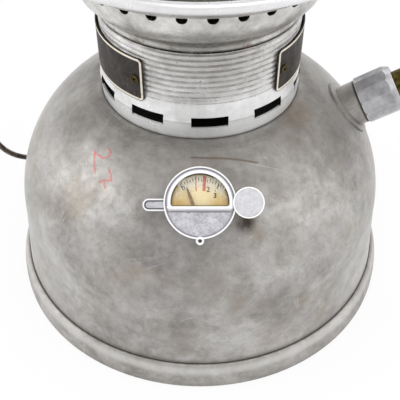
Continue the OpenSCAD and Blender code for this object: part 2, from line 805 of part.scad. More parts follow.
// The vaporizer's route, up, over to the back and up again, as [y, z, lean, radius]
function vap_route(r, z0, z1) = concat(
    [[0, z0, 0, r]],
    [for (i = [0:6]) let (a = bend_a * i / 6)
        [bend_r * (1 - cos(a)), vap_bend_z + bend_r * sin(a), a, r]],
    [for (i = [0:6]) let (a = bend_a * (1 - i / 6))
        [vap_off - bend_r * (1 - cos(a)), vap_top_z - bend_r * sin(a), a, r]],
    [[vap_off, z1, 0, r]]
);
function route_rings(route, n) = [for (p = route) for (i = [0:n - 1]) let (f = 360 * i / n)
    [p[3] * cos(f), p[0] + p[3] * sin(f) * cos(p[2]), p[1] - p[3] * sin(f) * sin(p[2])]];
// Faces between two rings of n points that start at a and b
function band(a, b, n) = [for (i = [0:n - 1]) let (j = (i + 1) % n) each
    [[a + i, b + i, b + j], [a + i, b + j, a + j]]];
module swept_tube(outer, inner, n) {
    m = len(outer);
    o = m * n;
    polyhedron(concat(route_rings(outer, n), route_rings(inner, n)), concat(
        [for (k = [0:m - 2]) each band(k * n, (k + 1) * n, n)],
        [for (k = [0:m - 2]) each band(o + (k + 1) * n, o + k * n, n)],
        band((m - 1) * n, o + (m - 1) * n, n), band(o, 0, n)
    ));
}
module swept_rod(route, n) {
    m = len(route);
    polyhedron(route_rings(route, n), concat(
        [for (k = [0:m - 2]) each band(k * n, (k + 1) * n, n)],
        [[for (i = [0:n - 1]) i], [for (i = [n - 1:-1:0]) (m - 1) * n + i]]
    ));
}
module vaporizer_tube() {
    color(brass) swept_tube(
        vap_route(vap_r, vap_start, jet_seat), vap_route(vap_bore, vap_start, jet_seat), 20
    );
}
module needle_rod() {
    shoulder = jet_seat + 2;
    color(steel) swept_rod(concat(
        vap_route(0.8, block_top - 2 + fit, shoulder),
        [[vap_off, shoulder + 0.6, 0, 0.2], [vap_off, jet_z - 2.2, 0, 0.2]]
    ), 8);
}
module dip_tube() {
    color(brass) ring(dip_r, dip_r - 1.2, bottom_top + 10, neck_z - 1 - fit);
}
module foot_valve() {
    color(brass) difference() {
        disc(foot_valve_r, bottom_top + 2, bottom_top + 14);
        disc(dip_r + fit, bottom_top + 10 - fit, bottom_top + 15);
        disc(1.2, bottom_top + 4, bottom_top + 11);
        for (a = [0, 90]) translate([0, 0, bottom_top + 5.5]) rotate([90, 0, a])
            cylinder(r = 1, h = 14, center = true);
    }
}
module preheat_cup() {
    color(brass) rotate_extrude() polygon([
        [vap_r + 1.2, base_top + fit], [cup_r, base_top + fit], [cup_r, base_top + cup_h],
        [cup_r - sheet, base_top + cup_h], [cup_r - sheet, base_top + sheet + fit],
        [vap_r + 1.2 + sheet, base_top + sheet + fit], [vap_r + 1.2 + sheet, base_top + cup_h],
        [vap_r + 1.2, base_top + cup_h]
    ]);
}
module jet() {
    color(brass) translate([0, vap_off, 0]) difference() {
        union() {
            translate([0, 0, jet_z - 10]) cylinder(r = 5.6, h = 6, $fn = 6);
            disc(2.5, jet_z - 4, jet_z);
        }
        disc(vap_r + fit, jet_z - 11, jet_seat + fit);
        disc(1.6, jet_z - 7, jet_z - 1.5);
        disc(0.35, jet_z - 2, jet_z + 1);
    }
}
module mixing_tube() {
    wall = 0.8;
    color(nickel) {
        translate([0, vap_off / 2, mix_z]) rotate([90, 0, 90]) rotate_extrude(angle = 180)
            translate([vap_off / 2, 0]) difference() {
                circle(r = mix_r, $fn = 32);
                circle(r = mix_r - wall, $fn = 32);
            }
        ring(mix_r, mix_r - wall, head_low + head_h - 4, mix_z);
        translate([0, vap_off, 0]) rotate_extrude() polygon([
            [mix_r - wall, mix_z], [mix_r, mix_z], [mix_r, mix_z - 3], [mix_r + 2.4, mix_in],
            [mix_r + 2.4 - wall, mix_in], [mix_r - wall, mix_z - 3]
        ]);
    }
}
module burner_head() {
    color(nickel) difference() {
        disc(12, head_low, head_low + head_h);
        disc(mix_r + fit, head_low + head_h - 4 - fit, head_low + head_h + 1);
        disc(mix_r - 0.8, head_low + 5, head_low + head_h);
        disc(9, head_low - 1, head_low + 5 + eps);
    }
}
module clay_nozzle() {
    color("#e9e4d8") difference() {
        union() {
            disc(9 - fit, head_low - 1, head_low + 4.8);
            disc(11, nozzle_low + 6, head_low - fit);
            disc(nozzle_neck, nozzle_low + 2 - eps, nozzle_low + 6 + eps);
            disc(nozzle_lip, nozzle_low, nozzle_low + 2);
        }
        disc(4.5, nozzle_low + 2, head_low + 6);
        for (a = [0:45:315]) rotate([0, 0, a]) translate([5.4, 0, 0]) disc(1, nozzle_low - 1, nozzle_low + 3);
    }
}
// The mantle's outline at a depth o under its surface, from the tip up to its tie in the nozzle's neck
function mantle_line(o) = let (
    r = mantle_d / 2 - o, belly = mantle_l * 0.46, low = nozzle_low - mantle_l,
    lip = nozzle_lip + cloth_gap + mantle_t - o, neck = nozzle_neck + fit + mantle_t - o
) concat(
    [for (k = [0:7]) let (a = 90 * k / 7) [r * sin(a), low + o + (belly - o) * (1 - cos(a))]],
    [for (k = [1:6]) let (t = k / 6)
        [lip + (r - lip) * (1 + cos(180 * t)) / 2, low + belly + (mantle_l - belly) * t]],
    [[lip, nozzle_low + 2.3], [neck, nozzle_low + 3.3], [neck, nozzle_low + 5.6]]
);
module mantle() {
    color("#f4f1e6") rotate_extrude() polygon(concat(mantle_line(0), back(mantle_line(mantle_t))));
}

// Globe and frame
module globe() {
    color([0.85, 0.92, 0.92, 0.4]) ring(globe_r, globe_r - globe_wall, globe_z, globe_top);
}
// Height of the bowl's inner face at a given radius beyond the ledge
function brim_z(r) = ledge_z + sheet + (r - ledge_r + sheet / 2)
    * (rim_z - 0.9 * bead_r - ledge_z) / (rim_r - bead_r - ledge_r + sheet / 2);
module upright(a) {
    low = brim_z(strip_r + 0.4) + seat;
    color(nickel) difference() {
        bearing(a) translate([strip_r - strip_t, -strip_w / 2, low]) cube([strip_t, strip_w, strip_top - low]);
        bearing(a) translate([strip_r, 0, rivet_z]) rotate([0, 90, 0]) disc(1.5 + fit, -3, 3);
    }
}
module upright_front_left() { upright(-bail_bearing); }
module upright_front_right() { upright(90 - bail_bearing); }
module upright_rear_right() { upright(180 - bail_bearing); }
module upright_rear_left() { upright(270 - bail_bearing); }
module top_ring() {
    color(nickel) difference() {
        union() {
            ring(ring_r, ring_r - sheet, ring_low, ring_top);
            ring(ring_r - sheet / 2, ring_r - 4.8, lip_z, lip_z + 1);
        }
        for (a = [0:90:270]) bearing(a - bail_bearing)
            translate([ring_r, 0, rivet_z]) rotate([0, 90, 0]) disc(1.5 + fit, -4, 3);
    }
}
module frame_rivets() {
    color(steel) for (a = [0:90:270]) bearing(a - bail_bearing)
        translate([ring_r, 0, rivet_z]) rotate([0, 90, 0]) {
            disc(1.5, -sheet - strip_t - 0.6, fit);
            translate([0, 0, fit]) cylinder(r1 = 2.6, r2 = 1.6, h = 1);
        }
}
module bail_bushes() {
    color(steel) for (a = [0, 180]) bearing(a - bail_bearing)
        translate([0, 0, pivot_z]) rotate([0, 90, 0])
            ring(4, bail_r + run, ring_r + seat, bush_out - seat);
}
module bail() {
    bow_r = bail_half;
    leg = bail_reach - bow_r;
    turn = 3;
    color(steel) bail_frame() {
        for (s = [0, 180]) rotate([0, 0, s]) {
            translate([bail_half, 0, -leg]) cylinder(r = bail_r, h = leg - turn);
            translate([bail_half - turn, 0, -turn]) rotate([90, 0, 0]) rotate_extrude(angle = 90)
                translate([turn, 0]) circle(r = bail_r, $fn = 32);
            translate([ring_r + 3 * fit, 0, 0]) rotate([0, 90, 0])
                cylinder(r = bail_r, h = bail_half - turn - ring_r - 3 * fit);
        }
        translate([0, 0, -leg]) rotate([90, 0, 0]) rotate_extrude(angle = -180)
            translate([bow_r, 0]) circle(r = bail_r, $fn = 32);
    }
}

// Inner chimney and hood
module inner_chimney() {
    t = 0.6;
    low = globe_top - 4;
    flange_z = lip_z + 1 + fit;
    neck_low = bridge_z - 4;
    color(nickel) rotate_extrude() polygon([
        [inner_r, low], [inner_r, flange_z], [ring_r - sheet - 0.2, flange_z],
        [ring_r - sheet - 0.2, flange_z + t], [inner_r, flange_z + t], [vent_r, neck_low],
        [vent_r, bridge_z + 6], [vent_r - t, bridge_z + 6], [vent_r - t, neck_low],
        [inner_r - t, flange_z + t / 2], [inner_r - t, low]
    ]);
}
module chimney_bridge() {
    reach = vent_r - 0.6 - fit;
    color(steel) {
        intersection() {
            translate([-5, -reach, bridge_z]) cube([10, 2 * reach, bridge_t]);
            disc(reach, bridge_z - 1, bridge_z + bridge_t + 1);
        }
        disc(stud_r, bridge_z + bridge_t - eps, stud_top);
    }
}
function hood_line(o) = concat(
    [[hood_r + o, hood_low], [hood_r + o, skirt_top]],
    [for (i = [1:9]) let (a = 90 * i / 9)
        [chimney_r + o + (hood_r - chimney_r) * (1 - sin(a)), skirt_top + shoulder_h * (1 - cos(a))]],
    [[chimney_r + o, chimney_top]]
);
module hood() {
    rest = ring_top + seat;
    color(nickel) difference() {
        union() {
            rotate_extrude() polygon(concat(hood_line(0), back(hood_line(-sheet))));
            ring(hood_r - sheet / 2, ring_r - 2.2, rest, rest + sheet);
        }
        for (i = [0:skirt_slots - 1]) rotate([0, 0, i * 360 / skirt_slots])
            translate([hood_r - 4, -skirt_slot_w / 2, rest + 5])
                cube([8, skirt_slot_w, skirt_top - 3.6 - rest - 5]);
        for (i = [0:chimney_slots - 1]) rotate([0, 0, i * 360 / chimney_slots])
            translate([chimney_r - 4, -chimney_slot_w / 2, chimney_z + slot_margin + 1])
                cube([8, chimney_slot_w, chimney_h - 2 * slot_margin]);
    }
}
module hood_cap() {
    top_r = 14;
    function line(o) = concat(
        [[hood_cap_r + o, hood_cap_z - 3]],
        [for (i = [0:8]) let (a = 90 * i / 8)
            [top_r + (hood_cap_r + o - top_r) * cos(a), hood_cap_z + (hood_cap_h + o) * sin(a)]]
    );
    color(nickel) difference() {
        union() {
            rotate_extrude() polygon(concat(
                line(0), [[0, hood_cap_z + hood_cap_h], [0, hood_cap_z + hood_cap_h - sheet]],
                back(line(-sheet))
            ));
            ring(hood_cap_r - sheet / 2, chimney_r - sheet - 0.4, hood_cap_z, hood_cap_z + sheet);
        }
        disc(stud_r + 2 * fit, hood_cap_z, nut_z + 1);
    }
}
module hood_nut() {
    color(brass) difference() {
        union() {
            disc(8.5, nut_z, nut_z + 5);
            disc(6, nut_z + 5, nut_z + nut_h - 3);
            translate([0, 0, nut_z + nut_h - 3]) cylinder(r1 = 6, r2 = 3.5, h = 3);
        }
        disc(stud_r + run, nut_z - 1, stud_top + 0.5);
        for (a = [0:18:342]) rotate([0, 0, a]) translate([8.7, 0, nut_z - 1]) cylinder(r = 0.5, h = 7);
    }
}

tank_shell();
tank_bottom();
base_ring();
center_bush();
filler_neck();
cap_gasket();
filler_cap();
bourdon_tube();
gauge_dial();
gauge_pointer();
gauge_glass();
vent_screw();
pump_seat();
pump_barrel();
pump_valve();
valve_pip();
valve_spring();
pump_cap();
pump_rod();
pump_knob();
pump_leather();
piston_disc();
piston_nut();
collar();
plate_left();
plate_right();
plate_eyelets();
gallery_bowl();
vaporizer_base();
packing_nut();
spindle();
hand_wheel();
wheel_screw();
lift_block();
needle_rod();
dip_tube();
foot_valve();
preheat_cup();
vaporizer_tube();
jet();
mixing_tube();
burner_head();
clay_nozzle();
mantle();
globe();
upright_front_left();
upright_front_right();
upright_rear_right();
upright_rear_left();
top_ring();
frame_rivets();
bail_bushes();
bail();
inner_chimney();
chimney_bridge();
hood();
hood_cap();
hood_nut();
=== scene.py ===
import math
import random
from functools import partial

import bpy
from mathutils import Matrix, Vector


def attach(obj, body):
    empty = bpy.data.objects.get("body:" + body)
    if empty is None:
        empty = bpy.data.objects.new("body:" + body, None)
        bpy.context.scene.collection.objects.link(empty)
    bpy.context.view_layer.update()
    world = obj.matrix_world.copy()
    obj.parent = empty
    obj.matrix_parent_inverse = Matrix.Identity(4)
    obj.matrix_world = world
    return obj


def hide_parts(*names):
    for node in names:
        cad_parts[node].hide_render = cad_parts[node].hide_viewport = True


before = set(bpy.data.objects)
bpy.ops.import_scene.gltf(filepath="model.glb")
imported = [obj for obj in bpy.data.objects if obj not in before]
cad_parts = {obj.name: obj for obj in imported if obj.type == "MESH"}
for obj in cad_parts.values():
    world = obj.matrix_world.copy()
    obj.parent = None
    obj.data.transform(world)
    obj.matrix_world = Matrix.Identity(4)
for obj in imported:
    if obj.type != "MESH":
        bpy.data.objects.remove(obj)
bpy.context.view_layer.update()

# Tank
# The tank is two shells pressed from soft aluminium sheet, with the filler neck and the pump's seat soldered on.
# It was never lacquered: years of handling left a dull cloudy oxide, kerosene stains, smudges and fine scratches.
MM = 0.001
PUMP_FOOT = (60.01, 0.0, 78.76)  # where the pump's axis leaves the dome, in mm
PUMP_TILT = math.radians(29.5)
SEAT_TOP = 9.5  # how far the pump's seat stands out along that axis
NECK_R = 38.9
NECK_LOW = 90.0
SEAM_Z = 11.8
SHADED_SHOULDER_Z = (70.0, 97.0)
CLOUDS = (0.36, 0.62)  # the levels between which a cloudy noise lies
EASED = {"interpolation_type": "SMOOTHSTEP"}


def linear(hex_colour):
    """An sRGB hex colour as the linear values that a socket takes."""
    parts = [int(hex_colour[i:i + 2], 16) / 255 for i in (0, 2, 4)]
    return [c / 12.92 if c <= 0.04045 else ((c + 0.055) / 1.055) ** 2.4 for c in parts] + [1.0]


def feed(tree, socket, value):
    """Links a node or one of its sockets to an input, or sets the input's value."""
    if isinstance(value, bpy.types.Node):
        value = next(output for output in value.outputs if output.enabled)
    if isinstance(value, bpy.types.NodeSocket):
        tree.links.new(value, socket)
    else:
        socket.default_value = linear(value) if socket.type == "RGBA" and isinstance(value, str) else value


def add_node(tree, kind, *sources, stops=(), **given):
    """Adds a node; its kind may end in its operation. Sources fill its inputs in order, a capital names an input,
    and small letters name a setting."""
    kind, _, operation = kind.partition(" ")
    node = tree.nodes.new(kind if "Node" in kind else "ShaderNode" + kind)
    if operation:
        node.operation = operation
    while stops and len(node.color_ramp.elements) < len(stops):
        node.color_ramp.elements.new(0.5)
    for i, (position, tone) in enumerate(stops):
        node.color_ramp.elements[i].position = position
        node.color_ramp.elements[i].color = linear(tone)
    inputs = dict(enumerate(sources))
    for name, value in given.items():
        if name[0].islower():
            setattr(node, name, value)
        else:
            inputs[name.replace("_", " ")] = value
    for name, value in inputs.items():
        feed(tree, node.inputs[name], value)
    return node


def begin(name):
    """A new material, what adds nodes to it, and the place on the lantern in mm."""
    material = bpy.data.materials.new(name)
    material.use_nodes = True
    add = partial(add_node, material.node_tree)
    here = add("TexCoord").outputs["Object"]
    return material, add, add("VectorMath SCALE", here, Scale=1 / MM)


def complete(material, colour, rough, relief=(), metallic=0.0, soot_and_shade=None, **sockets):
    """Feeds the surface. Rough may be clouds with a dull and a bright end, relief pairs levels with how many mm they
    rise, the soot mask, which also carries black painted as shade, is dull and no metal, and further sockets are set
    directly."""
    tree = material.node_tree
    add = partial(add_node, tree)
    if isinstance(rough, tuple):
        rough = add("MapRange", rough[0], *CLOUDS, *rough[1:])
    if soot_and_shade is not None:
        rough = add("Math MAXIMUM", rough, soot_and_shade)
        metallic = add("Math SUBTRACT", metallic, soot_and_shade, use_clamp=True)
    height = 0.0
    for level, rise in relief:
        height = add("Math MULTIPLY_ADD", level, rise, height)
    if relief:
        under = {"Normal": sockets["Normal"]} if "Normal" in sockets else {}
        sockets["Normal"] = add("Bump", Height=height, Distance=MM, Strength=1.0, **under)
    sockets.update(Base_Color=colour, Roughness=rough, Metallic=metallic)
    for name, value in sockets.items():
        feed(tree, tree.nodes["Principled BSDF"].inputs[name.replace("_", " ")], value)


def dress(material, *names):
    """Gives CAD nodes their finish."""
    for name in names:
        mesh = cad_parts[name].data
        mesh.materials.clear()
        mesh.materials.append(material)


def layer(add, colour, tone, level, cover=1.0, start=0.0, full=1.0, where=None, **how):
    """Lays a tone over the colour: none of it where the level is at start, and cover of it where it is at full."""
    share = add("MapRange", level, start, full, 0.0, cover, **how)
    if where is not None:
        share = add("Math MULTIPLY", share, where)
    return add("MixRGB", share, colour, tone)


def cloudy(add, place, size, tones, shift=0.0):
    """Cloudy oxide: tones from dark to pale, in patches about size mm across with finer ones inside them."""
    moved = add("VectorMath", place, (shift, 0.6 * shift, -shift))
    broad = add("TexNoise", moved, Scale=1 / size, Detail=4.0, Roughness=0.6, Distortion=0.5)
    fine = add("TexNoise", moved, Scale=5 / size, Detail=5.0, Roughness=0.65)
    both = add("Math MULTIPLY_ADD", fine, 0.38, add("Math MULTIPLY", broad, 0.62))
    last = len(tones) - 1
    return add("ValToRGB", both, stops=[(0.38 + 0.24 * i / last, tone) for i, tone in enumerate(tones)]), both


def off(add, level, middle):
    """How far a level lies from a middle, to either side."""
    return add("Math ABSOLUTE", add("Math SUBTRACT", level, middle))


def hairlines(add, place, turn, width, shift):
    """Fine scratches: the contour lines of a drawn-out noise, broken up by a second one."""
    drawn = add("Mapping", place, Rotation=turn, Scale=(0.012, 0.2, 0.012), Location=(shift, shift, shift))
    noise = add("TexNoise", drawn, Scale=1.0, Detail=2.0)
    line = add("MapRange", off(add, noise, 0.5), width, 0.0, 0.0, 1.0)
    where = add("TexNoise", place, Scale=0.09, Detail=2.0)
    return add("Math MULTIPLY", line, add("MapRange", where, 0.5, 0.62, 0.0, 1.0))


def stroke(add, place, points, width):
    """Where a drawn line lies on the surface: 1 along its points, in mm, and 0 beyond its width."""
    gap = 100.0
    for a, b in zip(points, points[1:]):
        a, b = Vector(a), Vector(b)
        away = add("VectorMath SUBTRACT", place, a)
        along = add("VectorMath DOT_PRODUCT", away, (b - a) / (b - a).length_squared)
        foot = add("VectorMath SCALE", b - a, Scale=add("Math", along, 0.0, use_clamp=True))
        gap = add("Math MINIMUM", gap, add("VectorMath DISTANCE", away, foot))
    return add("MapRange", gap, 0.55 * width, 0.25 * width, 0.0, 1.0)


def around(add, place):
    """The distance from the axis and the height along it, in mm."""
    return (add("VectorMath LENGTH", add("VectorMath MULTIPLY", place, (1, 1, 0))),
            add("SeparateXYZ", place).outputs["Z"])


def near(add, place, point, reach, core, cover):
    """A soft round patch about a point: cover within core mm of it, fading to nothing at its reach."""
    return add("MapRange", add("VectorMath DISTANCE", place, point), reach, core, 0.0, cover, **EASED)


def dirt_and_shade_in_hollows(add, reach):
    """How deep a spot lies in a corner or groove within reach mm, where dirt stays and shade falls: the tones laid by
    it are dirt and painted shade.
    """
    open_share = add("AmbientOcclusion", Distance=reach * MM, samples=6).outputs["AO"]
    return add("MapRange", open_share, 0.75, 0.35, 0.0, 1.0)


# Broad stains on the dome: x, y, z and reach in mm, how much they cover, and their colour. The first, fifth and sixth,
# under the vent screw's disc, are painted shadow of its stem over kerosene stain, and the second, seen through the
# ear's hole, is painted shade.
STAINS_AND_SHADOWS = [
    (16.9, -64.9, 76.5, 2.4, 1.0, "120d0a"), (0, -69.6, 71.9, 1.8, 0.95, "17110d"),
    (0, -71.5, 70, 7, 0.35, "625a50"), (-14, -62, 79, 8, 0.25, "6f6a64"), (16.9, -65.3, 76.0, 5.0, 1.0, "1f1712"),
    (16.6, -64.9, 76.4, 9, 0.45, "574c42"), (36.7, -22.3, 94.9, 13, 0.5, "84715a"), (55, -28, 82, 17, 0.45, "5f5a55"),
    (-47, -25, 90, 18, 0.42, "66625e"), (62, -20, 72, 12, 0.3, "6b655f"), (8, -76, 55, 20, 0.34, "807b76"),
    (0, -54, 89, 14, 0.36, "76716b"), (-8, -81, 30, 18, 0.30, "837e78"), (30, -76, 22, 13, 0.30, "8a7a66"),
    (50, -63, 21, 9, 0.45, "7d6c54"), (40, -70, 36, 10, 0.28, "93866f"), (-30, -66, 62, 12, 0.25, "85817c"),
]
CRAYON = [
    [(-39.7, -38.6, 87.8), (-39.8, -41.3, 86.3), (-39.6, -43.8, 84.9), (-39.2, -46.0, 83.6)],
    [(-39.7, -39.4, 87.4), (-37.9, -40.9, 87.5), (-36.1, -42.4, 87.6), (-34.6, -42.8, 88.1),
     (-33.5, -42.1, 88.9), (-33.3, -40.9, 89.6), (-34.4, -39.4, 89.9)],
    [(-37.5, -49.5, 82.0), (-35.5, -49.7, 83.0), (-33.8, -50.4, 83.4), (-32.8, -50.6, 83.7),
     (-32.9, -48.9, 84.9), (-33.8, -47.1, 85.8)],
    [(-35.5, -49.7, 83.0), (-35.5, -50.7, 82.2), (-35.2, -51.9, 81.4)],
]
LONG_SCRATCH = [(-3.0, -47.9, 92.5), (3.0, -48.1, 92.4), (9.0, -47.9, 92.1), (15, -47.9, 91.3), (21.1, -47.8, 90.0)]
CRAYON_WIDTH = 1.1
SCRATCH_WIDTH = 0.9

tank_metal, add, place = begin("pressed aluminium, oxidised")
colour, clouds = cloudy(add, place, 30, ("8f8c89", "a19e9b", "aeaba8", "bcbab7"))
away, up = around(add, place)
grime = add("TexNoise", place, Scale=1 / 2.6, Detail=5.0, Roughness=0.75)
colour = layer(add, colour, "76726d", grime, 0.3, 0.52, 0.34)
smudges = add("TexNoise", place, Scale=1 / 14, Detail=6.0, Roughness=0.7, Distortion=0.8)
colour = layer(add, colour, "6f6b67", smudges, 0.38, 0.45, 0.30)
browned = add("TexNoise", add("VectorMath", place, (40, 0, 9)), Scale=1 / 20, Detail=5.0)
colour = layer(add, colour, "978974", browned, 0.42, 0.54, 0.74)
# The shoulder under the collar is painted darker as shade.
colour = layer(add, colour, "6c6863", up, 0.36, *SHADED_SHOULDER_Z, **EASED)
# Paler where the surface turns away from the eye: a painted sheen.
grazing_sheen = add("LayerWeight", Blend=0.5).outputs["Facing"]
colour = layer(add, colour, "dedddb", grazing_sheen, 0.4, 0.5, 0.92)
ragged = add("TexNoise", place, Scale=1 / 4, Detail=5.0, Roughness=0.7)
ragged = add("MapRange", ragged, 0.35, 0.6, 0.5, 1.0)
# Among these, the dark spots round the vent screw's disc and behind the ear's hole are painted shadow.
for x, y, z, reach, cover, tone in STAINS_AND_SHADOWS:
    stain_and_shadow = add("Math MULTIPLY", near(add, place, (x, y, z), reach, 0.15 * reach, cover), ragged)
    colour = add("MixRGB", stain_and_shadow, colour, tone)
pale_lines = hairlines(add, place, (0.3, 0.5, 0.9), 0.005, 3.0)
dark_lines = hairlines(add, place, (1.1, 0.2, -0.6), 0.008, 11.0)
colour = layer(add, colour, "d9d8d5", pale_lines, 0.28)
colour = layer(add, colour, "6f6c68", dark_lines, 0.25)
waxy = add("MapRange", add("TexNoise", place, Scale=2.2, Detail=3.0), 0.38, 0.58, 0.12, 0.7)
for points in CRAYON:
    colour = layer(add, colour, "c0524a", stroke(add, place, points, CRAYON_WIDTH), where=waxy)
colour = layer(add, colour, "5d4c3c", stroke(add, place, LONG_SCRATCH, SCRATCH_WIDTH), 0.6)
colour = layer(add, colour, "5c5751", up, 0.45, SEAM_Z + 3.2, SEAM_Z, **EASED)
# Darker in corners and creases: dirt and painted shade.
colour = layer(add, colour, "38332d", dirt_and_shade_in_hollows(add, 2.4), 0.75)
# A dark ring where the pump's cap meets its seat: painted shade in the gap.
axis = (math.cos(PUMP_TILT), 0.0, math.sin(PUMP_TILT))
along = add("VectorMath DOT_PRODUCT", add("VectorMath SUBTRACT", place, PUMP_FOOT), axis)
colour = layer(add, colour, "2e2a26", along, 0.85, SEAT_TOP - 1.1, SEAT_TOP - 0.6)
# The dome under the collar, seen through its slots, is painted black as shade.
painted_shade_under_collar = add("Math MULTIPLY", add("Math LESS_THAN", away, NECK_R), add("Math GREATER_THAN", up, NECK_LOW))
colour = add("MixRGB", painted_shade_under_collar, colour, "0d0c0b")
grain = add("TexNoise", place, Scale=1 / 0.8, Detail=3.0)
complete(tank_metal, colour, (clouds, 0.56, 0.42), [(grain, 0.012), (clouds, 0.5), (pale_lines, -0.01)],
         metallic=0.75)
dress(tank_metal, "tank_shell", "tank_bottom", "filler_neck", "pump_seat")

# Foot ring
# A bead rolled from thicker aluminium strip and crimped over the tank's seam. Its crown is painted paler as a
# highlight, its lower part darker as shade, and it is darker along the crease over it.
CROWN_HIGHLIGHT_Z = 9.6
CREASE_R = 84.2

ring_metal, add, place = begin("rolled aluminium, rubbed")
colour, clouds = cloudy(add, place, 19, ("8a8682", "9c9995", "aaa7a4", "b8b5b2"), 5.0)
away, up = around(add, place)
dents = add("TexNoise", add("VectorMath", place, (0, 0, 30)), Scale=1 / 7, Detail=5.0, Roughness=0.7)
colour = layer(add, colour, "736f69", dents, 0.45, 0.42, 0.3)
# A painted highlight along the crown, and painted shade on the lower part.
colour = layer(add, colour, "d9d7d4", off(add, up, CROWN_HIGHLIGHT_Z), 0.55, 3.0, 0.3, **EASED)
colour = layer(add, colour, "5a554f", away, 0.5, CREASE_R, CREASE_R - 1.7)
colour = layer(add, colour, "77726b", up, 0.4, 6.5, 1.0)
colour = layer(add, colour, "dddcda", hairlines(add, place, (0.0, 0.1, 0.4), 0.01, 6.0), 0.5)
complete(ring_metal, colour, (clouds, 0.56, 0.42), [(dents, 0.12), (clouds, 0.5)], metallic=0.8,
         Normal=add("Bevel", Radius=0.9 * MM, samples=8))
dress(ring_metal, "base_ring")

# Brass fittings
# Bush, valves, cup, jet, screws and knobs are turned or pressed from brass. The metal has tarnished to an olive
# brown with bright yellow left on the edges that hands and spanners rub.


def edge_wear_and_glint(add, reach, low=0.02, high=0.12):
    """How far an edge is rubbed bright, and on the pump's cap also painted as a highlight: 0 on the flats and 1 on
    edges sharper than reach mm.
    """
    rounded = add("Bevel", Radius=reach * MM, samples=6)
    agree = add("VectorMath DOT_PRODUCT", rounded, add("NewGeometry").outputs["Normal"])
    return add("MapRange", agree, 1 - low, 1 - high, 0.0, 1.0)


def turned_brass(name, tones, bright, rough):
    """Tarnished brass with rubbed edges, dirt and painted shade in its corners and fine turning marks."""
    material, add, place = begin(name)
    colour, clouds = cloudy(add, place, 7, tones, 2.0)
    # Darker in its corners: dirt and painted shade.
    colour = layer(add, colour, "2b2416", dirt_and_shade_in_hollows(add, 1.5), 0.6)
    colour = layer(add, colour, bright, edge_wear_and_glint(add, 0.35), 0.7)
    marks = add("TexNoise", place, Scale=1 / 0.4, Detail=2.0)
    complete(material, colour, add("MapRange", clouds, 0.36, 0.64, rough + 0.12, rough), [(marks, 0.02)], metallic=1.0)
    return material


brass = turned_brass("turned brass, tarnished", ("4f4326", "7d6a3c", "a48c55"), "d8bd7c", 0.3)
dress(brass, "center_bush", "bourdon_tube", "pump_valve", "piston_disc", "piston_nut", "vaporizer_base",
      "packing_nut", "wheel_screw", "dip_tube", "foot_valve", "preheat_cup", "vaporizer_tube", "jet")
dress(turned_brass("knurled brass, handled", ("6b5a33", "9d854e", "bfa365"), "e3cd92", 0.26), "hood_nut")

# Filler cap
# A die-cast aluminium cap that screws on the filler neck. It carries the gauge behind a D-shaped window in a bright
# bezel, a pitted plain plate below it, a recessed grip tab on its left and a small pierced ear at its foot.
GAUGE_AT = (0.0, -0.06164, 0.08248)  # the middle of the neck's mouth, in metres
GAUGE_TURN = math.radians(44.4)
CAP_R = 12.5
CAP_FACE = 11.0  # how far its face stands out of the neck
GROOVE_R = 11.8
ARCH_R = 10.95
WINDOW_R = 10.4
SILL_V = (-2.1, -1.1)
PLATE_TOP_V = -3.0
TAB_END = 17.85
TAB_V = -0.6
EAR_V = -13.1
gauge_out = (0, -math.sin(GAUGE_TURN), math.cos(GAUGE_TURN))


def on_gauge(add):
    """The place in the gauge's own frame in mm: right, up along its face and out of it."""
    return add("Mapping", add("TexCoord").outputs["Object"], vector_type="TEXTURE",
               Location=GAUGE_AT, Rotation=(GAUGE_TURN, 0, 0), Scale=(MM, MM, MM))


def band(add, level, low, start, end, high):
    """1 where a level lies from start to end, fading to 0 at low and high."""
    return add("Math MULTIPLY", add("MapRange", level, low, start, 0.0, 1.0),
               add("MapRange", level, end, high, 1.0, 0.0))


cap_metal, add, place = begin("die-cast cap, buffed")
face = on_gauge(add)
u, v, out = add("SeparateXYZ", face).outputs
flat = add("VectorMath MULTIPLY", face, (1, 1, 0))
away = add("VectorMath LENGTH", flat)
colour, clouds = cloudy(add, place, 6, ("b2b1b6", "c2c1c6", "cfced3"), 1.0)
lower = add("Math MULTIPLY", add("Math LESS_THAN", v, PLATE_TOP_V), add("Math LESS_THAN", away, GROOVE_R))
pits = add("TexNoise", place, Scale=1 / 0.6, Detail=4.0, Roughness=0.7)
patchy = add("TexNoise", place, Scale=1 / 2.2, Detail=3.0, Roughness=0.6)
colour = layer(add, colour, "8f8c97", patchy, 0.35, 0.6, 0.4, where=lower)
colour = layer(add, colour, "807d82", pits, 0.7, 0.48, 0.36, where=lower)
# Darker in its corners: dirt and painted shade.
colour = layer(add, colour, "4b4640", dirt_and_shade_in_hollows(add, 0.9), 0.85)
# The raised rim and bezel are painted paler, with white along the window's arch and sill and round the outer rim as
# painted highlights, and the groove between rim and bezel is painted darker as shade.
raised = add("Math GREATER_THAN", out, CAP_FACE + 0.4)
above = add("Math GREATER_THAN", out, CAP_FACE - 0.05)
colour = layer(add, colour, "d2d1d6", raised, 0.6)
arch = add("Math MULTIPLY", add("MapRange", away, ARCH_R + 0.2, ARCH_R, 0.0, 1.0),
           add("Math GREATER_THAN", v, SILL_V[1] - 0.2))
sill = band(add, v, SILL_V[0], SILL_V[0] + 0.2, SILL_V[1] - 0.1, SILL_V[1])
colour = layer(add, colour, "efeff1", add("Math MAXIMUM", arch, sill), where=raised)
groove_shade = band(add, away, GROOVE_R - 0.6, GROOVE_R - 0.4, GROOVE_R + 0.05, GROOVE_R + 0.15)
colour = layer(add, colour, "87848d", groove_shade, 0.8, where=above)
colour = layer(add, colour, "f4f4f5", add("Math GREATER_THAN", away, CAP_R - 0.55), where=above)
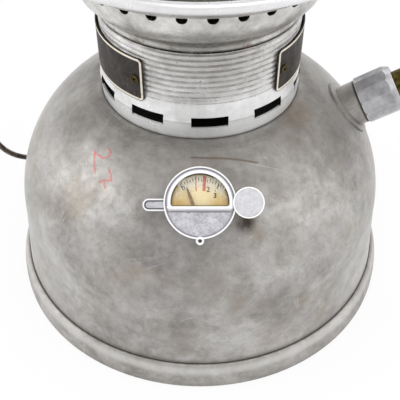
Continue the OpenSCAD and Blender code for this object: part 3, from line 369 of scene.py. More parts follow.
# A dark line on the plate just under the sill: painted shadow.
foot = band(add, v, PLATE_TOP_V - 0.5, PLATE_TOP_V - 0.1, PLATE_TOP_V + 0.04, PLATE_TOP_V + 0.12)
colour = layer(add, colour, "68646a", foot, 0.7, where=lower)
# The window's wall is in shade and stained brown.
normal = add("VectorMath DOT_PRODUCT", add("TexCoord").outputs["Normal"], gauge_out)
wall = add("Math MULTIPLY", add("Math LESS_THAN", normal, 0.5), add("Math LESS_THAN", away, WINDOW_R))
colour = add("MixRGB", wall, colour, "4a3a22")
# The tab's recess: a dark line under its lip, which is painted shade, specks on its floor, and its outer edge painted
# white as a highlight. The ear's hole is painted dark as shade, inside a ring painted white as a highlight.
apart = add("VectorMath DISTANCE", flat, add("CombineXYZ", add("Math MAXIMUM", u, -TAB_END), TAB_V))
on_tab = add("Math LESS_THAN", u, -CAP_R - 0.1)
colour = layer(add, colour, "26302c", band(add, apart, 1.0, 1.3, 1.5, 1.62), where=on_tab)
ear = add("VectorMath DISTANCE", flat, (0, EAR_V, 0))
colour = layer(add, colour, "ffffff", ear, 0.9, 1.6, 1.5)
colour = layer(add, colour, "14100d", ear, 1.0, 0.75, 0.6)
colour = layer(add, colour, "4c534f", pits, 0.8, 0.42, 0.34, where=on_tab)
colour = layer(add, colour, "fafafa", apart, 0.8, 1.6, 1.7, where=on_tab)
complete(cap_metal, colour, add("MapRange", pits, 0.3, 0.7, 0.4, 0.25),
         [(add("Math MULTIPLY", lower, pits), 0.1), (clouds, 0.1)], metallic=0.2,
         Normal=add("Bevel", Radius=0.15 * MM, samples=4))
dress(cap_metal, "filler_cap")

# Vent screw
# A turned aluminium screw with a broad thin head, faced on the lathe: its top shows fine rings round its centre inside
# an edge painted white as a highlight.
VENT_X = 16.6
VENT_R = 5.0

disc_metal, add, place = begin("faced aluminium disc")
away = around(add, add("VectorMath", on_gauge(add), (-VENT_X, 0, 0)))[0]
# The real lathe rings are about 0.1 mm apart; they are drawn 0.35 mm apart so that they show.
rings = add("TexNoise", add("CombineXYZ", away), Scale=1 / 0.35, Detail=2.0)
colour, clouds = cloudy(add, place, 2, ("bcbbc0", "cac9ce", "d6d5da"), 4.0)
colour = layer(add, colour, "bdbbc1", rings, 0.45, 0.45, 0.62)
# White round the edge is a painted highlight, and the dark in its corners is dirt and painted shade.
colour = layer(add, colour, "ffffff", away, 1.0, VENT_R - 0.15, VENT_R)
colour = layer(add, colour, "57534f", dirt_and_shade_in_hollows(add, 0.8), 0.6)
complete(disc_metal, colour, 0.36, [(rings, 0.02)], metallic=0.15)
dress(disc_metal, "vent_screw")

# Gauge dial
# Thin sheet, lacquered cream and gone golden towards the lower edge, with brown dirt and painted shadow along the
# window's outline and a paler patch of painted light in its middle.
# A paler scale band, ticks, plain numbers and a red mark at the working pressure are printed on it.
DIAL_FACE = 8.6
FILM_FOOT = 8.58
PIVOT_V = -7.2
gauge = Matrix.Translation(GAUGE_AT) @ Matrix.Rotation(GAUGE_TURN, 4, "X")

dial_lacquer, add, place = begin("cream lacquer on sheet, yellowed")
face = on_gauge(add)
away = around(add, face)[0]
v = add("SeparateXYZ", face).outputs["Y"]
colour, clouds = cloudy(add, place, 5, ("e8d09a", "f2e1b3", "faefd0"), 8.0)
colour = layer(add, colour, "eec25c", v, 0.75, 4.0, -0.6)
# A paler patch in the middle is painted light; the darker brown round the window's outline is painted shadow with
# dirt.
colour = add("MixRGB", near(add, face, (0.5, 0.6, DIAL_FACE), 5.5, 1.0, 0.75), colour, "fff1c0")
for tone, cover, arch, sill in (("80602a", 0.85, (8.9, 10.3), (-0.5, -1.15)),
                                ("3b2a14", 0.9, (9.75, 9.95), (-0.85, -1.0))):
    edge = add("Math MAXIMUM", add("MapRange", away, *arch, 0.0, cover), add("MapRange", v, *sill, 0.0, cover))
    colour = add("MixRGB", edge, colour, tone)
complete(dial_lacquer, colour, 0.5, [(clouds, 0.05)])
dress(dial_lacquer, "gauge_dial")


def ink(name, dark, pale):
    """Printing ink, thinner in places."""
    material, add, place = begin(name)
    worn = add("TexNoise", place, Scale=1 / 0.5, Detail=3.0)
    complete(material, add("ValToRGB", worn, stops=[(0.38, dark), (0.62, pale)]), 0.55)
    return material


INKS = {"black": ink("black printing ink", "1d1610", "3a2f22"), "red": ink("red printing ink", "c04a42", "dd8a78"),
        "pale": ink("pale printing ink", "e2d9c2", "f8f0dc")}


def new_object(name, data):
    """Puts a mesh, text, lamp or camera in the scene."""
    made = bpy.data.objects.new(name, data)
    bpy.context.scene.collection.objects.link(made)
    return made


def new_mesh(name, points, faces):
    """A mesh from points in metres and faces."""
    mesh = bpy.data.meshes.new(name)
    mesh.from_pydata(points, [], faces)
    return mesh


def worked_out(made):
    """The mesh that a text or an object with modifiers comes to."""
    return bpy.data.meshes.new_from_object(made.evaluated_get(bpy.context.evaluated_depsgraph_get()))


def prisms(name, ends):
    """A mesh of closed prisms, each from the rings at its two ends."""
    points, faces = [], []
    for low, high in ends:
        n, start = len(low), len(points)
        points += low + high
        faces += [tuple(start + i for i in reversed(range(n))), tuple(start + n + i for i in range(n))]
        faces += [(start + i, start + (i + 1) % n, start + n + (i + 1) % n, start + n + i) for i in range(n)]
    return new_mesh(name, points, faces)


def printed(name, mesh, tone):
    """Puts a print on the dial, so that it lifts off with the filler cap."""
    mesh.materials.clear()
    mesh.materials.append(INKS[tone])
    piece = new_object(name, mesh)
    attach(piece, "filler_cap")


def film(outlines, rise):
    """Thin closed films that stand rise mm proud of the dial, from their outlines in mm."""
    return prisms("film", [[[gauge @ (Vector((u, v, h)) * MM) for u, v in outline]
                            for h in (FILM_FOOT, DIAL_FACE + rise)] for outline in outlines])


def scale_arc(inner, outer, first, last):
    """A band round the pointer's pivot between two radii and two bearings from straight up, in degrees."""
    steps = [math.radians(first + (last - first) * i / 24) for i in range(25)]
    ring = [[(r * math.sin(a), PIVOT_V + r * math.cos(a)) for a in steps] for r in (inner, outer)]
    return ring[0][::-1] + ring[1]


def bar(a, b, width):
    """A straight printed line from a to b."""
    side = Vector((a[1] - b[1], b[0] - a[0])).normalized() * width / 2
    return [(a[0] + side.x, a[1] + side.y), (b[0] + side.x, b[1] + side.y),
            (b[0] - side.x, b[1] - side.y), (a[0] - side.x, a[1] - side.y)][::-1]


def ray(bearing, inner, outer, width):
    """A printed tick that points away from the pivot."""
    turn = math.radians(bearing)
    return bar(*((r * math.sin(turn), PIVOT_V + r * math.cos(turn)) for r in (inner, outer)), width)


printed("dial_scale_band", film([scale_arc(13.15, 16.6, -30, 36)], 0.01), "pale")
printed("dial_scale_line", film([scale_arc(12.75, 13.1, -40, 46)], 0.012), "pale")
ticks = [ray(-24.5 + 3.8 * i, 14.6, 15.5 if i % 2 else 16.0, 0.19) for i in range(16)]
ticks += [bar((6.7, 6.4), (5.8, 5.0), 0.3), bar((5.25, 4.5), (5.3, 3.9), 0.22), ray(-26.5, 13.4, 15.2, 0.28)]
printed("dial_ticks", film(ticks, 0.03), "black")
printed("dial_red_mark", film([bar((1.67, 9.3), (1.32, 4.1), 1.15)], 0.035), "red")
printed("dial_red_line", film([bar((-1.5, 9.2), (-1.32, 4.1), 0.35)], 0.033), "red")


def number(digit, middle, tall, tone, bold):
    """A plain printed number on the dial, tall mm high, with its strokes thickened by bold."""
    name = "dial_number_" + digit
    text = bpy.data.curves.new(name, "FONT")
    text.body, text.size, text.align_x, text.align_y = digit, tall * MM / 0.73, "CENTER", "CENTER"
    text.extrude, text.offset, text.resolution_u = 0.02 * MM, bold * MM, 4
    made = new_object(name + "_text", text)
    mesh = worked_out(made)
    bpy.data.objects.remove(made)
    mesh.transform(gauge @ Matrix.Translation(Vector((*middle, DIAL_FACE + 0.01)) * MM))
    printed(name, mesh, tone)


number("2", (2.8, 4.64), 1.9, "black", 0.03)
number("3", (5.2, 2.53), 1.8, "black", 0.07)
number("1", (-3.4, 4.5), 1.6, "pale", 0.02)
number("0", (-5.75, 5.1), 1.5, "black", 0.02)

pointer_lacquer, add, place = begin("golden lacquer on brass")
colour, clouds = cloudy(add, place, 3, ("6b4a1c", "8a6428", "a67c36"), 1.0)
complete(pointer_lacquer, colour, 0.45, [(clouds, 0.03)], Coat_Weight=0.2)
dress(pointer_lacquer, "gauge_pointer")

# Glass
# A flat disc over the dial and the blown cylinder round the burner. Both are clear, with a film of dust and soot, and
# a pale tint that grows where the surface turns away as a painted reflection.


def clear_glass(name, tint, facing, grazing_sheen, dust):
    """Clear glass: what it covers shows through, its pale tint shows where dust lies, and its turned-away edges carry
    more of it as a painted reflection.
    """
    material, add, place = begin(name)
    turned = add("LayerWeight", Blend=0.35).outputs["Facing"]
    film_of_dust = add("TexNoise", place, Scale=1 / 16, Detail=5.0, Roughness=0.7)
    # The tint covers the glass where dust lies and, as a painted reflection, where it turns away.
    dust_and_reflection = add("Math", add("MapRange", film_of_dust, 0.42, 0.72, 0.0, dust),
               add("MapRange", turned, 0.1, 0.95, facing, grazing_sheen))
    complete(material, tint, add("MapRange", film_of_dust, 0.4, 0.7, 0.03, 0.12), Alpha=dust_and_reflection, IOR=1.5)
    return material


dress(clear_glass("flat window glass", "f4efe4", 0.03, 0.2, 0.03), "gauge_glass")
dress(clear_glass("blown glass", "e9efec", 0.05, 0.7, 0.09), "globe")

# Rubber and leather
# The cap's gasket and the pump valve's pip are moulded from black rubber, which is dull and even. The pump's cup is
# oiled leather, with pores about 0.6 mm apart.
rubber, add, place = begin("black rubber, moulded")
colour, clouds = cloudy(add, place, 2, ("171615", "232120", "302d2b"))
complete(rubber, colour, 0.75, [(clouds, 0.05)])
dress(rubber, "cap_gasket", "valve_pip")

leather, add, place = begin("oiled cup leather")
colour, clouds = cloudy(add, place, 2.5, ("3f2716", "664326", "7d5633"))
complete(leather, colour, 0.6, [(add("TexVoronoi", place, Scale=1 / 0.6), 0.06)])
dress(leather, "pump_leather")

# Pump
# A nickelled barrel in the soldered seat, closed by a pressed cap with flats for the fingers. The brass knob on its
# rod has gone olive brown. Where cap, seat and knob meet they are darker, with dirt and painted shade, and the cap's
# edges are paler, with wear and a painted highlight on its chamfer.
pump_nickel, add, place = begin("pressed cap, worn plating")
colour, clouds = cloudy(add, place, 15, ("8c8a8e", "9c9a9e", "a9a8ab", "b9b8bb"), 3.0)
# Darker in its corners: dirt and painted shade; paler at its edges: wear and a painted highlight.
colour = layer(add, colour, "35312d", dirt_and_shade_in_hollows(add, 2.0), 0.75)
colour = layer(add, colour, "f2f2f4", edge_wear_and_glint(add, 0.6), 0.8)
drag = add("TexNoise", add("Mapping", place, Rotation=(0, PUMP_TILT, 0), Scale=(0.06, 1.6, 1.6)), Scale=1.0)
complete(pump_nickel, colour, (clouds, 0.46, 0.34), [(clouds, 0.1), (drag, 0.03)], metallic=0.8)
dress(pump_nickel, "pump_cap", "pump_barrel")
dress(turned_brass("turned brass knob, olive", ("373016", "5d5227", "8a7a3f"), "c3ad62", 0.34), "pump_knob")

# Steel
# Rods, springs, wire and rivets are drawn steel, browned by heat and old oil, with a little rust on them and
# brighter edges where they rub.
steel, add, place = begin("drawn steel, browned")
colour, clouds = cloudy(add, place, 6, ("2f2a27", "4a423c", "645950", "7b664f"), 6.0)
colour = layer(add, colour, "9a938b", edge_wear_and_glint(add, 0.3), 0.5)
complete(steel, colour, (clouds, 0.5, 0.34), [(clouds, 0.12)], metallic=0.85)
dress(steel, "valve_spring", "pump_rod", "spindle", "lift_block", "needle_rod", "frame_rivets", "bail_bushes",
      "bail", "chimney_bridge")

# Collar
# Thin aluminium sheet spun over the tank's neck: a smooth band with air slots, then nine rolled ribs. It is paler than
# the tank, with dark dirt and brown spots in the grooves, and its inside is painted black as shade.
COLLAR_FOOT = 94.9
BAND_TOP = 109.84
RIB_PITCH = 2.2
RIB_GROOVE = 0.86  # where in each pitch the groove lies
SLOT_MIDDLE = 101.9
SMUDGE_AT = (2.0, -38.7, 128.0)


def facing_in(add, place):
    """1 on faces that look towards the lantern's axis, where soot settles and where the collar and bowl are painted
    black as shade, and 0 elsewhere.
    """
    out = add("VectorMath MULTIPLY", place, (1, 1, 0))
    return add("Math LESS_THAN", add("VectorMath DOT_PRODUCT", out, add("TexCoord").outputs["Normal"]), -0.2)


def specks(add, place, size, cover, shift):
    """Small spots of dirt about size mm across, in loose groups."""
    moved = add("VectorMath", place, (shift, -shift, shift))
    spot = add("TexNoise", moved, Scale=1 / size, Detail=3.0, Roughness=0.6)
    group = add("TexNoise", moved, Scale=0.15 / size, Detail=2.0)
    level = add("Math MULTIPLY_ADD", group, 0.35, spot)
    return add("MapRange", level, 1 - cover, 1.04 - cover, 0.0, 1.0)


def spinning_lines(add, away, up, apart):
    """The fine rings that the spinning tool leaves, apart mm apart."""
    return add("TexNoise", add("CombineXYZ", away, 0.0, up), Scale=1 / apart, Detail=2.0)


collar_metal, add, place = begin("spun aluminium, pale")
colour, clouds = cloudy(add, place, 16, ("b6b4b2", "cccac8", "dad9d8", "e8e8e7"), 9.0)
away, up = around(add, place)
dirt = add("TexNoise", place, Scale=1 / 5, Detail=5.0, Roughness=0.7)
# The band under the ribs, most at its top and below the slots' middle, is painted paler as light.
colour = layer(add, colour, "f1f3f4", up, 0.4, BAND_TOP + 0.8, BAND_TOP - 1.2)
colour = layer(add, colour, "f4f6f7", up, 0.35, SLOT_MIDDLE + 1.5, SLOT_MIDDLE - 3.0, **EASED)
colour = add("MixRGB", near(add, place, SMUDGE_AT, 24.0, 6.0, 0.45), colour, "88847f")
step = add("Math FRACT", add("Math DIVIDE", add("Math SUBTRACT", up, BAND_TOP), RIB_PITCH))
held = add("Math MULTIPLY", add("Math GREATER_THAN", up, BAND_TOP - 0.6),
           add("MapRange", dirt, *CLOUDS, 0.15, 1.0))
colour = layer(add, colour, "433a30", off(add, step, RIB_GROOVE), 0.65, 0.14, 0.04, where=held)
# Darker in corners and grooves: dirt and painted shade.
colour = layer(add, colour, "39322a", dirt_and_shade_in_hollows(add, 1.3), where=add("MapRange", dirt, 0.36, 0.58, 0.25, 0.95))
colour = layer(add, colour, "5a4430", specks(add, place, 0.9, 0.11, 2.0), 0.7)
# A grey line along the band's bend at the slots' middle: painted shade.
colour = layer(add, colour, "6b6862", off(add, up, SLOT_MIDDLE), 0.3, 0.45, 0.1)
colour = layer(add, colour, "4f4a42", up, 0.6, COLLAR_FOOT + 1.1, COLLAR_FOOT, where=dirt)
colour = layer(add, colour, "e9e8e6", edge_wear_and_glint(add, 0.3), 0.5)
# Faces that look inwards are painted black, as the shade seen through the slots.
soot_and_shade = facing_in(add, place)
colour = add("MixRGB", soot_and_shade, colour, "0c0b0a")
# Spinning leaves lines about 0.2 mm apart, drawn here 0.5 mm apart so that they show.
lines = spinning_lines(add, away, up, 0.5)
complete(collar_metal, colour, (clouds, 0.42, 0.26), [(clouds, 0.25), (lines, 0.015)],
         metallic=add("MapRange", up, BAND_TOP + 0.8, BAND_TOP - 1.2, 0.62, 0.5), soot_and_shade=soot_and_shade)
dress(collar_metal, "collar")

# Collar plates
# Thin sheet, lacquered dark brown with a cream line round the edge, and held by four brass eyelets. The lacquer is
# satin, scuffed and lightly specked where it has chipped.
PLATE_R = 39.9
PLATE_MIDDLE = 116.04
PLATE_HALF = (27.16, 8.8)
PLATE_CORNER = 1.8


def bearing_of(add, place):
    """The bearing round the axis from the front towards the right, in radians."""
    x, y, _ = add("SeparateXYZ", place).outputs
    return add("Math ARCTAN2", x, add("Math MULTIPLY", y, -1.0))


def lacquered_plate(name, bearing):
    """Dark lacquer with a cream border, its middle at a bearing from the front in degrees."""
    material, add, place = begin(name)
    turn = add("Math SUBTRACT", bearing_of(add, place), math.radians(bearing))
    spread = (add("Math ABSOLUTE", add("Math MULTIPLY", turn, PLATE_R)),
              off(add, around(add, place)[1], PLATE_MIDDLE))
    over = [add("Math SUBTRACT", s, half - PLATE_CORNER) for s, half in zip(spread, PLATE_HALF)]
    corner = add("VectorMath LENGTH", add("CombineXYZ", *(add("Math MAXIMUM", o, 0.0) for o in over)))
    inner = add("Math MINIMUM", add("Math MAXIMUM", *over), 0.0)
    edge = add("Math SUBTRACT", add("Math", corner, inner), PLATE_CORNER)
    colour, clouds = cloudy(add, place, 7, ("1f1a18", "2b2421", "37302c"), 12.0)
    worn = add("TexNoise", place, Scale=1 / 1.2, Detail=4.0, Roughness=0.7)
    border = add("Math MULTIPLY", band(add, edge, -1.15, -1.0, -0.28, -0.16),
                 add("MapRange", worn, 0.30, 0.42, 0.35, 1.0))
    colour = add("MixRGB", border, colour, "e4ddcc")
    # A dark line along the plate's very edge: painted shade.
    colour = layer(add, colour, "3d3328", edge, 0.8, -0.2, -0.08)
    colour = layer(add, colour, "a59c8e", specks(add, place, 0.8, 0.12, 5.0), 0.45)
    colour = layer(add, colour, "9b938a", hairlines(add, place, (0.2, 0.9, 0.1), 0.009, 4.0), 0.3)
    complete(material, colour, (clouds, 0.62, 0.5), [(worn, 0.03), (border, 0.02)], Coat_Weight=0.05,
             Coat_Roughness=0.4, Specular_IOR_Level=0.3)
    return material


dress(lacquered_plate("brown lacquer on sheet, left plate", -69.6), "plate_left")
dress(lacquered_plate("brown lacquer on sheet, right plate", 83.4), "plate_right")
dress(turned_brass("brass eyelet, browned", ("1f1a10", "3a331f", "5a5030"), "8a7a48", 0.4), "plate_eyelets")

# Bowl
# Spun from the same sheet as the collar: a sleeve inside it, a rounded wall with punched air holes, a ledge for the
# globe and a wide brim with a rolled rim. A black line at the joint with the collar is painted shade broken by dirt,
# the crook above it is painted darker as shade, the inside below the ledge and the holes' cut edges are painted black
# as shade, and the brim's inside and the rolled rim are painted pale as reflection and highlight.
JOINT_Z = 129.84
CROOK_Z = 134.0  # where the wall turns outwards over the joint
LEDGE_Z = 150.84
SHEET = 0.8
HOLE_Z = 147.34
HOLES = 30
HOLE_R = 1.9
HOLE_SIDES = 28
BOWL_R = 47.0
BEAD = (62.4, 159.24, 1.9)  # the rolled rim: how far out and how high its middle lies, and its own radius
ROUND = 180  # steps round the bowl
JOINT_SMUDGE_AT = (2.0, -39.0, 131.5)
BROWN_SPOTS = [((28, -34, 138), 7, 0.35), ((14, -39, 133), 4, 0.4), ((-10, -41, 141), 5, 0.25)]
WALL = [(37.3, 122.84), (37.3, 129.2), (37.5, 129.7), (38.3, 129.84), (38.6, 129.95), (38.7, 130.3), (38.75, 131.9),
        (39.05, 133.2), (39.9, 134.4), (41.5, 135.6), (43.3, 137.0), (44.8, 138.8), (45.8, 140.8), (46.5, 143.0),
        (46.9, 145.2), (47.0, 147.3), (47.0, 149.6), (47.15, 150.4), (47.7, 150.8), (50.0, 150.84), (52.6, 150.86),
        (53.4, 151.1), (56.8, 153.5), (60.3, 156.02), (61.8, 157.1)]


def thickened(line, sheet):
    """The two faces of a sheet whose outer face is line: the inner one runs back on its left."""
    inner = []
    for k, (r, z) in enumerate(line):
        a, b = line[max(k - 1, 0)], line[min(k + 1, len(line) - 1)]
        d = Vector((b[0] - a[0], b[1] - a[1])).normalized()
        inner.append((r - d.y * sheet, z + d.x * sheet))
    return line, inner[::-1]


outer, inner = thickened(WALL, SHEET)
curl = [(BEAD[0] + BEAD[2] * math.cos(math.radians(t)), BEAD[1] + BEAD[2] * math.sin(math.radians(t)))
        for t in range(-92, 232, 12)]
profile = outer + curl + inner
turned = [(r * math.sin(a) * MM, -r * math.cos(a) * MM, z * MM)
          for r, z in profile for a in (2 * math.pi * i / ROUND for i in range(ROUND))]
cells = [(k * ROUND + i, k * ROUND + (i + 1) % ROUND, n * ROUND + (i + 1) % ROUND, n * ROUND + i)
         for k in range(len(profile)) for n in [(k + 1) % len(profile)] for i in range(ROUND)]
bowl = new_object("spun_bowl", new_mesh("spun_bowl", turned, cells))
punches = []
for i in range(HOLES):
    bearing = math.radians((i + 0.5) * 360 / HOLES - 1)
    out = Vector((math.sin(bearing), -math.cos(bearing), 0))
    side = Vector((math.cos(bearing), math.sin(bearing), 0))
    rim = [side * (HOLE_R * math.cos(t)) + Vector((0, 0, HOLE_Z + HOLE_R * math.sin(t)))
           for t in (2 * math.pi * k / HOLE_SIDES for k in range(HOLE_SIDES))]
    punches.append([[(out * (BOWL_R + reach) + across) * MM for across in rim] for reach in (-4.0, 3.0)])
punch = new_object("hole_punch", prisms("hole_punch", punches))
cut = bowl.modifiers.new("air holes", "BOOLEAN")
cut.operation, cut.object, cut.solver = "DIFFERENCE", punch, "EXACT"
mesh = worked_out(bowl)
bowl.modifiers.clear()
bowl.data = mesh
bpy.data.objects.remove(punch)
mesh.shade_smooth()
mesh.set_sharp_from_angle(angle=math.radians(40))

bowl_metal, add, place = begin("spun aluminium, satin")
colour, clouds = cloudy(add, place, 18, ("a6a4a1", "c0bebb", "d0cfcc", "dfdedc"), 15.0)
away, up = around(add, place)
inward = facing_in(add, place)
dirt = add("TexNoise", place, Scale=1 / 6, Detail=5.0, Roughness=0.7)
colour = layer(add, colour, "6a665f", near(add, place, JOINT_SMUDGE_AT, 28.0, 4.0, 0.6),
               where=add("MapRange", up, CROOK_Z + 5.0, CROOK_Z - 1.5, 0.0, 1.0))
# A black line at the joint with the collar: painted shade, broken by dirt.
colour = layer(add, colour, "0e0b09", off(add, up, JOINT_Z), 1.0, 1.5, 0.7,
               where=add("MapRange", dirt, 0.3, 0.46, 0.7, 1.0))
# Darker at the crook where the wall turns outwards: painted shade.
colour = layer(add, colour, "6f6b65", off(add, up, CROOK_Z), 0.4, 2.2, 0.2, **EASED)
colour = layer(add, colour, "838079", dirt, 0.4, 0.44, 0.3)
colour = layer(add, colour, "4b3f31", specks(add, place, 1.0, 0.125, 8.0), 0.75)
# The air holes' cut edges and the inside below the ledge are painted black as shade.
cut_edge = add("Math MULTIPLY", add("Math LESS_THAN", off(add, up, HOLE_Z), HOLE_R + 0.06),
               add("Math LESS_THAN", away, BOWL_R - 0.22))
painted_shade_below = add("Math MULTIPLY", add("Math LESS_THAN", up, LEDGE_Z - 0.2), add("Math LESS_THAN", away, BOWL_R + 0.6))
painted_shade_below = add("Math MAXIMUM", add("Math MULTIPLY", inward, painted_shade_below), cut_edge)
colour = add("MixRGB", painted_shade_below, colour, "0c0b0a")
# The brim's inside is painted pale as a reflection and the rolled rim as a highlight, both with less metal.
brim_painted_reflection = add("Math MULTIPLY", add("Math GREATER_THAN", up, LEDGE_Z + 0.3), inward)
colour = layer(add, colour, "eeeef4", brim_painted_reflection, 0.8)
rim_painted_highlight = add("MapRange", away, BEAD[0] - 1.4, BEAD[0] - 0.6, 0.0, 0.7)
colour = add("MixRGB", rim_painted_highlight, colour, "ebebee")
colour = layer(add, colour, "5d4c39", dirt, 0.65, 0.52, 0.66,
               where=add("MapRange", up, CROOK_Z + 2.0, CROOK_Z - 2.5, 0.0, 1.0))
for point, reach, cover in BROWN_SPOTS:
    colour = add("MixRGB", near(add, place, point, reach, 0.2 * reach, cover), colour, "7d6c52")
# Its spinning lines too are drawn wider apart than real ones, at 0.6 mm.
complete(bowl_metal, colour, (clouds, 0.4, 0.24), [(clouds, 0.3), (spinning_lines(add, away, up, 0.6), 0.015)],
         metallic=add("Math MULTIPLY_ADD", add("Math MAXIMUM", brim_painted_reflection, rim_painted_highlight), -0.6, 0.8), soot_and_shade=painted_shade_below)
mesh.materials.append(bowl_metal)
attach(bowl, "lantern")
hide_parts("gallery_bowl")

# Hand wheel
# Moulded from dark brown phenolic resin and held on the spindle by a slotted brass screw. It shines softly, and
# its edges are rubbed paler.
resin, add, place = begin("moulded phenolic resin")
colour, clouds = cloudy(add, place, 6, ("1d120d", "301e17", "452c20"), 2.0)
colour = layer(add, colour, "6b5142", edge_wear_and_glint(add, 0.5), 0.4)
complete(resin, colour, (clouds, 0.42, 0.26), [(clouds, 0.08)])
dress(resin, "hand_wheel")

# Mixing tube, burner head and inner chimney
# Nickelled brass that stands in the flame's heat: straw and brown tints with a dull blue nearest the mantle, and
# soot on the faces that look inwards.
HOT_TONES = ("8d857a", "aaa398", "c2bcb1")
RAGGED = 34.0  # how far up and down the tint's border wanders, in mm


def plated(name, size, tones, tint_low, tint_high, tint, cover, sooty=0.0):
    """Nickel plate: cloudy, rubbed at its edges, and tinted by heat between two heights in mm."""
    material, add, place = begin(name)
    colour, clouds = cloudy(add, place, size, tones, size)
    away, up = around(add, place)
    ragged = add("TexNoise", place, Scale=1 / 18, Detail=4.0, Distortion=0.6)
    level = add("Math MULTIPLY_ADD", ragged, RAGGED, up)
    colour = layer(add, colour, tint, level, cover, tint_low + RAGGED / 2, tint_high + RAGGED / 2)
    stains = add("TexNoise", add("VectorMath", place, (7, 3, 50)), Scale=1 / 9, Detail=6.0, Roughness=0.7)
    colour = layer(add, colour, "6f5c45", stains, 0.3, 0.55, 0.75)
    # Darker in its corners: dirt and painted shade.
    colour = layer(add, colour, "2b2622", dirt_and_shade_in_hollows(add, 2.0), 0.55)
    colour = layer(add, colour, "ece9e2", edge_wear_and_glint(add, 0.35), 0.6)
    soot_and_shade = None
    if sooty:
        soot_and_shade = add("Math MULTIPLY", facing_in(add, place), sooty)
        colour = add("MixRGB", soot_and_shade, colour, "171412")
    complete(material, colour, add("MapRange", stains, 0.35, 0.7, 0.2, 0.42),
             [(clouds, 0.3), (spinning_lines(add, away, up, 0.7), 0.015)], metallic=1.0, soot_and_shade=soot_and_shade)
    return material


dress(plated("nickelled brass, heat tinted", 14, HOT_TONES, 300, 235, "7a6248", 0.75), "mixing_tube", "burner_head")
dress(plated("nickelled chimney, sooted", 20, HOT_TONES, 250, 300, "6a5444", 0.7, 0.9), "inner_chimney")

# Clay nozzle
# Fired white clay with a slightly sandy surface, scorched brown round its lip. It screws into the burner head and
# carries the mantle.
NOZZLE_LOW = 236.0

clay, add, place = begin("fired clay")
colour, clouds = cloudy(add, place, 4, ("cfc6b2", "e2dccb", "efebe0"), 1.0)
colour = layer(add, colour, "6f5b45", around(add, place)[1], 0.7, NOZZLE_LOW + 5, NOZZLE_LOW)
complete(clay, colour, 0.88, [(add("TexNoise", place, Scale=1 / 0.3, Detail=3.0), 0.06)])
dress(clay, "clay_nozzle")

# Mantle
# A knitted sock of artificial silk, soaked in salts and burned off to a white brittle net. It is tied in pleats
# into the nozzle's neck and hangs free below it.
MANTLE_R = 15.0
MANTLE_L = 44.0
LIP_R = 10.4
NECK_TIE_R = 9.6
PLEATS = 14
TURNS = 112  # steps round the sock
YARN = 0.3
WALES = 60.0
COURSE = 1.2


def mantle_outline():
    """Radius and height along the sock, in mm, from its tip to the tie."""
    low, belly = NOZZLE_LOW - MANTLE_L, 0.46 * MANTLE_L
    line = [(MANTLE_R * math.sin(math.radians(a)), low + belly * (1 - math.cos(math.radians(a))))
            for a in range(3, 91, 3)]
    for t in (i / 30 for i in range(1, 31)):
        line.append((LIP_R + (MANTLE_R - LIP_R) * (1 + math.cos(math.pi * t)) / 2,
                     low + belly + (MANTLE_L - belly) * t))
    for t in (i / 8 for i in range(1, 9)):
        line.append((LIP_R + (NECK_TIE_R - LIP_R) * min(1, 1.6 * t), NOZZLE_LOW + 5.4 * t))
    return line


random.seed(7)
depths = [random.uniform(0.6, 1.4) for _ in range(PLEATS)]
sock, cells = [], []
outline = mantle_outline()
for r, z in outline:
    gather = max(0.0, min(1.0, (z - (NOZZLE_LOW - 20)) / 18))
    hang = max(0.0, min(1.0, (r - 3) / 10)) * (1 - gather)
    for i in range(TURNS):
        a = 2 * math.pi * i / TURNS
        fold = 0.28 * gather * depths[int(PLEATS * i / TURNS)] * math.cos(PLEATS * a)
        slack = 0.22 * hang * (math.sin(3 * a + 0.22 * z) + 0.6 * math.sin(5 * a - 0.31 * z))
        reach = (r + min(0.0, fold + slack - YARN)) * MM
        sock.append((reach * math.sin(a), -reach * math.cos(a), z * MM))
for k in range(len(outline) - 1):
    cells += [(k * TURNS + i, k * TURNS + (i + 1) % TURNS, (k + 1) * TURNS + (i + 1) % TURNS, (k + 1) * TURNS + i)
              for i in range(TURNS)]
cells.append(tuple(reversed(range(TURNS))))
mesh = new_mesh("mantle_sock", sock, cells)
mesh.shade_smooth()
mantle = new_object("mantle_sock", mesh)
mantle.modifiers.new("yarn", "SOLIDIFY").thickness = YARN * MM

silk, add, place = begin("knitted silk ash")
# The knit has about 60 wales round the sock, so its loops are 1.6 mm wide and 1.2 mm high.
wale = add("Math SINE", add("Math MULTIPLY", bearing_of(add, place), WALES))
lean = add("Math MULTIPLY_ADD", wale, 0.8, add("Math MULTIPLY", around(add, place)[1], 2 * math.pi / COURSE))
loops = add("Math MAXIMUM", wale, add("Math SINE", lean))
colour, clouds = cloudy(add, place, 6, ("dbd4c0", "ece7d8", "f7f4ea"), 2.0)
colour = layer(add, colour, "a39a85", loops, 0.6, 0.3, -0.6)
complete(silk, colour, 0.95, [(loops, 0.14)], Sheen_Weight=0.2)
mesh.materials.append(silk)
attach(mantle, "lantern")
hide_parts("mantle")

# Frame, top ring and hood
# Four nickelled strips riveted to the top ring carry the hood: a slotted skirt, a shoulder and a windowed chimney
# under a domed cap. The heat browned the plating, most of all near the windows and the cap.
SOFT_EDGE = math.radians(30)

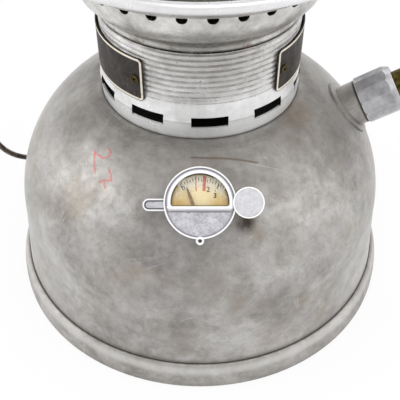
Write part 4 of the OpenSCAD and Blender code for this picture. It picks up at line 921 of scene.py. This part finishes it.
# Pressed sheet has no facets, so a modifier shades these four smooth across every edge softer than 30 degrees.
rounding = bpy.data.node_groups.new("smooth pressed sheet", "GeometryNodeTree")
for way in ("INPUT", "OUTPUT"):
    rounding.interface.new_socket("Geometry", in_out=way, socket_type="NodeSocketGeometry")
add = partial(add_node, rounding)
shape = add("GeometryNodeMergeByDistance", add("NodeGroupInput"), Distance=0.001 * MM)
shape = add("GeometryNodeRemoveAttribute", shape, Name="custom_normal")
shape = add("GeometryNodeSetShadeSmooth", shape, Shade_Smooth=True, domain="FACE")
soft = add("FunctionNodeCompare LESS_THAN", add("GeometryNodeInputMeshEdgeAngle"), SOFT_EDGE)
add("NodeGroupOutput", add("GeometryNodeSetShadeSmooth", shape, Shade_Smooth=soft, domain="EDGE"))
for name in ("top_ring", "hood", "hood_cap", "inner_chimney"):
    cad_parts[name].modifiers.new("smooth", "NODES").node_group = rounding

dress(plated("nickelled strip", 22, ("a8a39a", "b5b0a7", "c2bdb4"), 180, 290, "8a7557", 0.45),
      "upright_front_left", "upright_front_right", "upright_rear_right", "upright_rear_left")
dress(plated("nickelled hood, heat browned", 26, ("a49f96", "b2ada4", "bfbab1"), 285, 352, "7d654a", 0.7, 0.85),
      "top_ring", "hood")
dress(plated("nickelled cap, blued", 24, ("8f8982", "9e9890", "aca69d"), 360, 384, "56505a", 0.6, 0.85), "hood_cap")

# Room
# A white table in a white room that is darker in its middle in front and behind, where whoever looks at the
# lantern stands. Soft boxes light it from the left, the right, above and behind.
TABLE = [(-3, -3), (3, -3), (3, 3), (-3, 3)]
TABLE_SHOWN = 0.88  # the share of plain white in the table as it is seen; the rest is its lit surface
DARK_MIDDLE = 0.44
AIM = Vector((0, 0, 0.15))
scene = bpy.context.scene
scene.view_settings.view_transform = "Standard"

table_finish, add, place = begin("white table")
complete(table_finish, "efefef", 0.9)
rays = add("LightPath").outputs
seen = add("Math MAXIMUM", add("Math MAXIMUM", rays["Is Camera Ray"], rays["Is Glossy Ray"]),
           rays["Is Transmission Ray"])
tree = table_finish.node_tree
cover = add("MixShader", add("Math MULTIPLY", seen, TABLE_SHOWN), tree.nodes["Principled BSDF"],
            add("Emission", "ffffff", 1.0))
feed(tree, tree.nodes["Material Output"].inputs["Surface"], cover)
mesh = new_mesh("table_top", [(x, y, -0.2 * MM) for x, y in TABLE], [(0, 1, 2, 3)])
mesh.materials.append(table_finish)
table_top = new_object("table_top", mesh)

world = bpy.data.worlds.new("soft white room")
scene.world = world
world.use_nodes = True
tree = world.node_tree
add = partial(add_node, tree)
x, _, z = add("SeparateXYZ", add("TexCoord").outputs["Generated"]).outputs
sideways = add("Math", add("Math ABSOLUTE", x), add("MapRange", z, 0.6, 0.0, 0.0, 0.42))
sides = add("MapRange", sideways, 0.25, 0.9, 0.0, 1.0, **EASED)
low = add("MapRange", z, 0.4, 0.1, 0.0, 1.0, **EASED)
high = add("MapRange", z, 0.82, 0.95, 0.0, 1.0, **EASED)
white = add("Math MAXIMUM", add("Math MAXIMUM", sides, low), high)
feed(tree, tree.nodes["Background"].inputs["Color"], "ffffff")
feed(tree, tree.nodes["Background"].inputs["Strength"], add("MapRange", white, 0.0, 1.0, DARK_MIDDLE, 1.0))


def soft_box(name, place, size, watts):
    """A square soft box aimed at the lantern's middle."""
    data = bpy.data.lights.new(name, "AREA")
    data.size, data.energy = size, watts
    made = new_object(name, data)
    made.location = place
    made.rotation_euler = (AIM - Vector(place)).to_track_quat("-Z", "Y").to_euler()


soft_box("soft_box_left", (-1.2, -0.1, 0.7), 0.9, 5)
soft_box("soft_box_right", (1.2, -0.3, 0.7), 0.9, 3)
soft_box("soft_box_top", (0.15, -0.55, 1.3), 1.1, 6)
soft_box("soft_box_back", (0.1, 1.0, 1.1), 0.9, 4)

# Camera
# It stands a short way in front of the lantern, just above its bowl, and looks down at the gauge.
CAMERA_AT = (0, -0.2390, 0.2539)
LOOKS_DOWN = 0.763
lens = bpy.data.cameras.new("camera")
lens.sensor_width, lens.lens, lens.clip_start = 36.0, 61.9, 0.01
camera = new_object("camera", lens)
camera.location = CAMERA_AT
camera.rotation_euler = (math.pi / 2 - LOOKS_DOWN, 0.0, 0.0)
scene.camera = camera
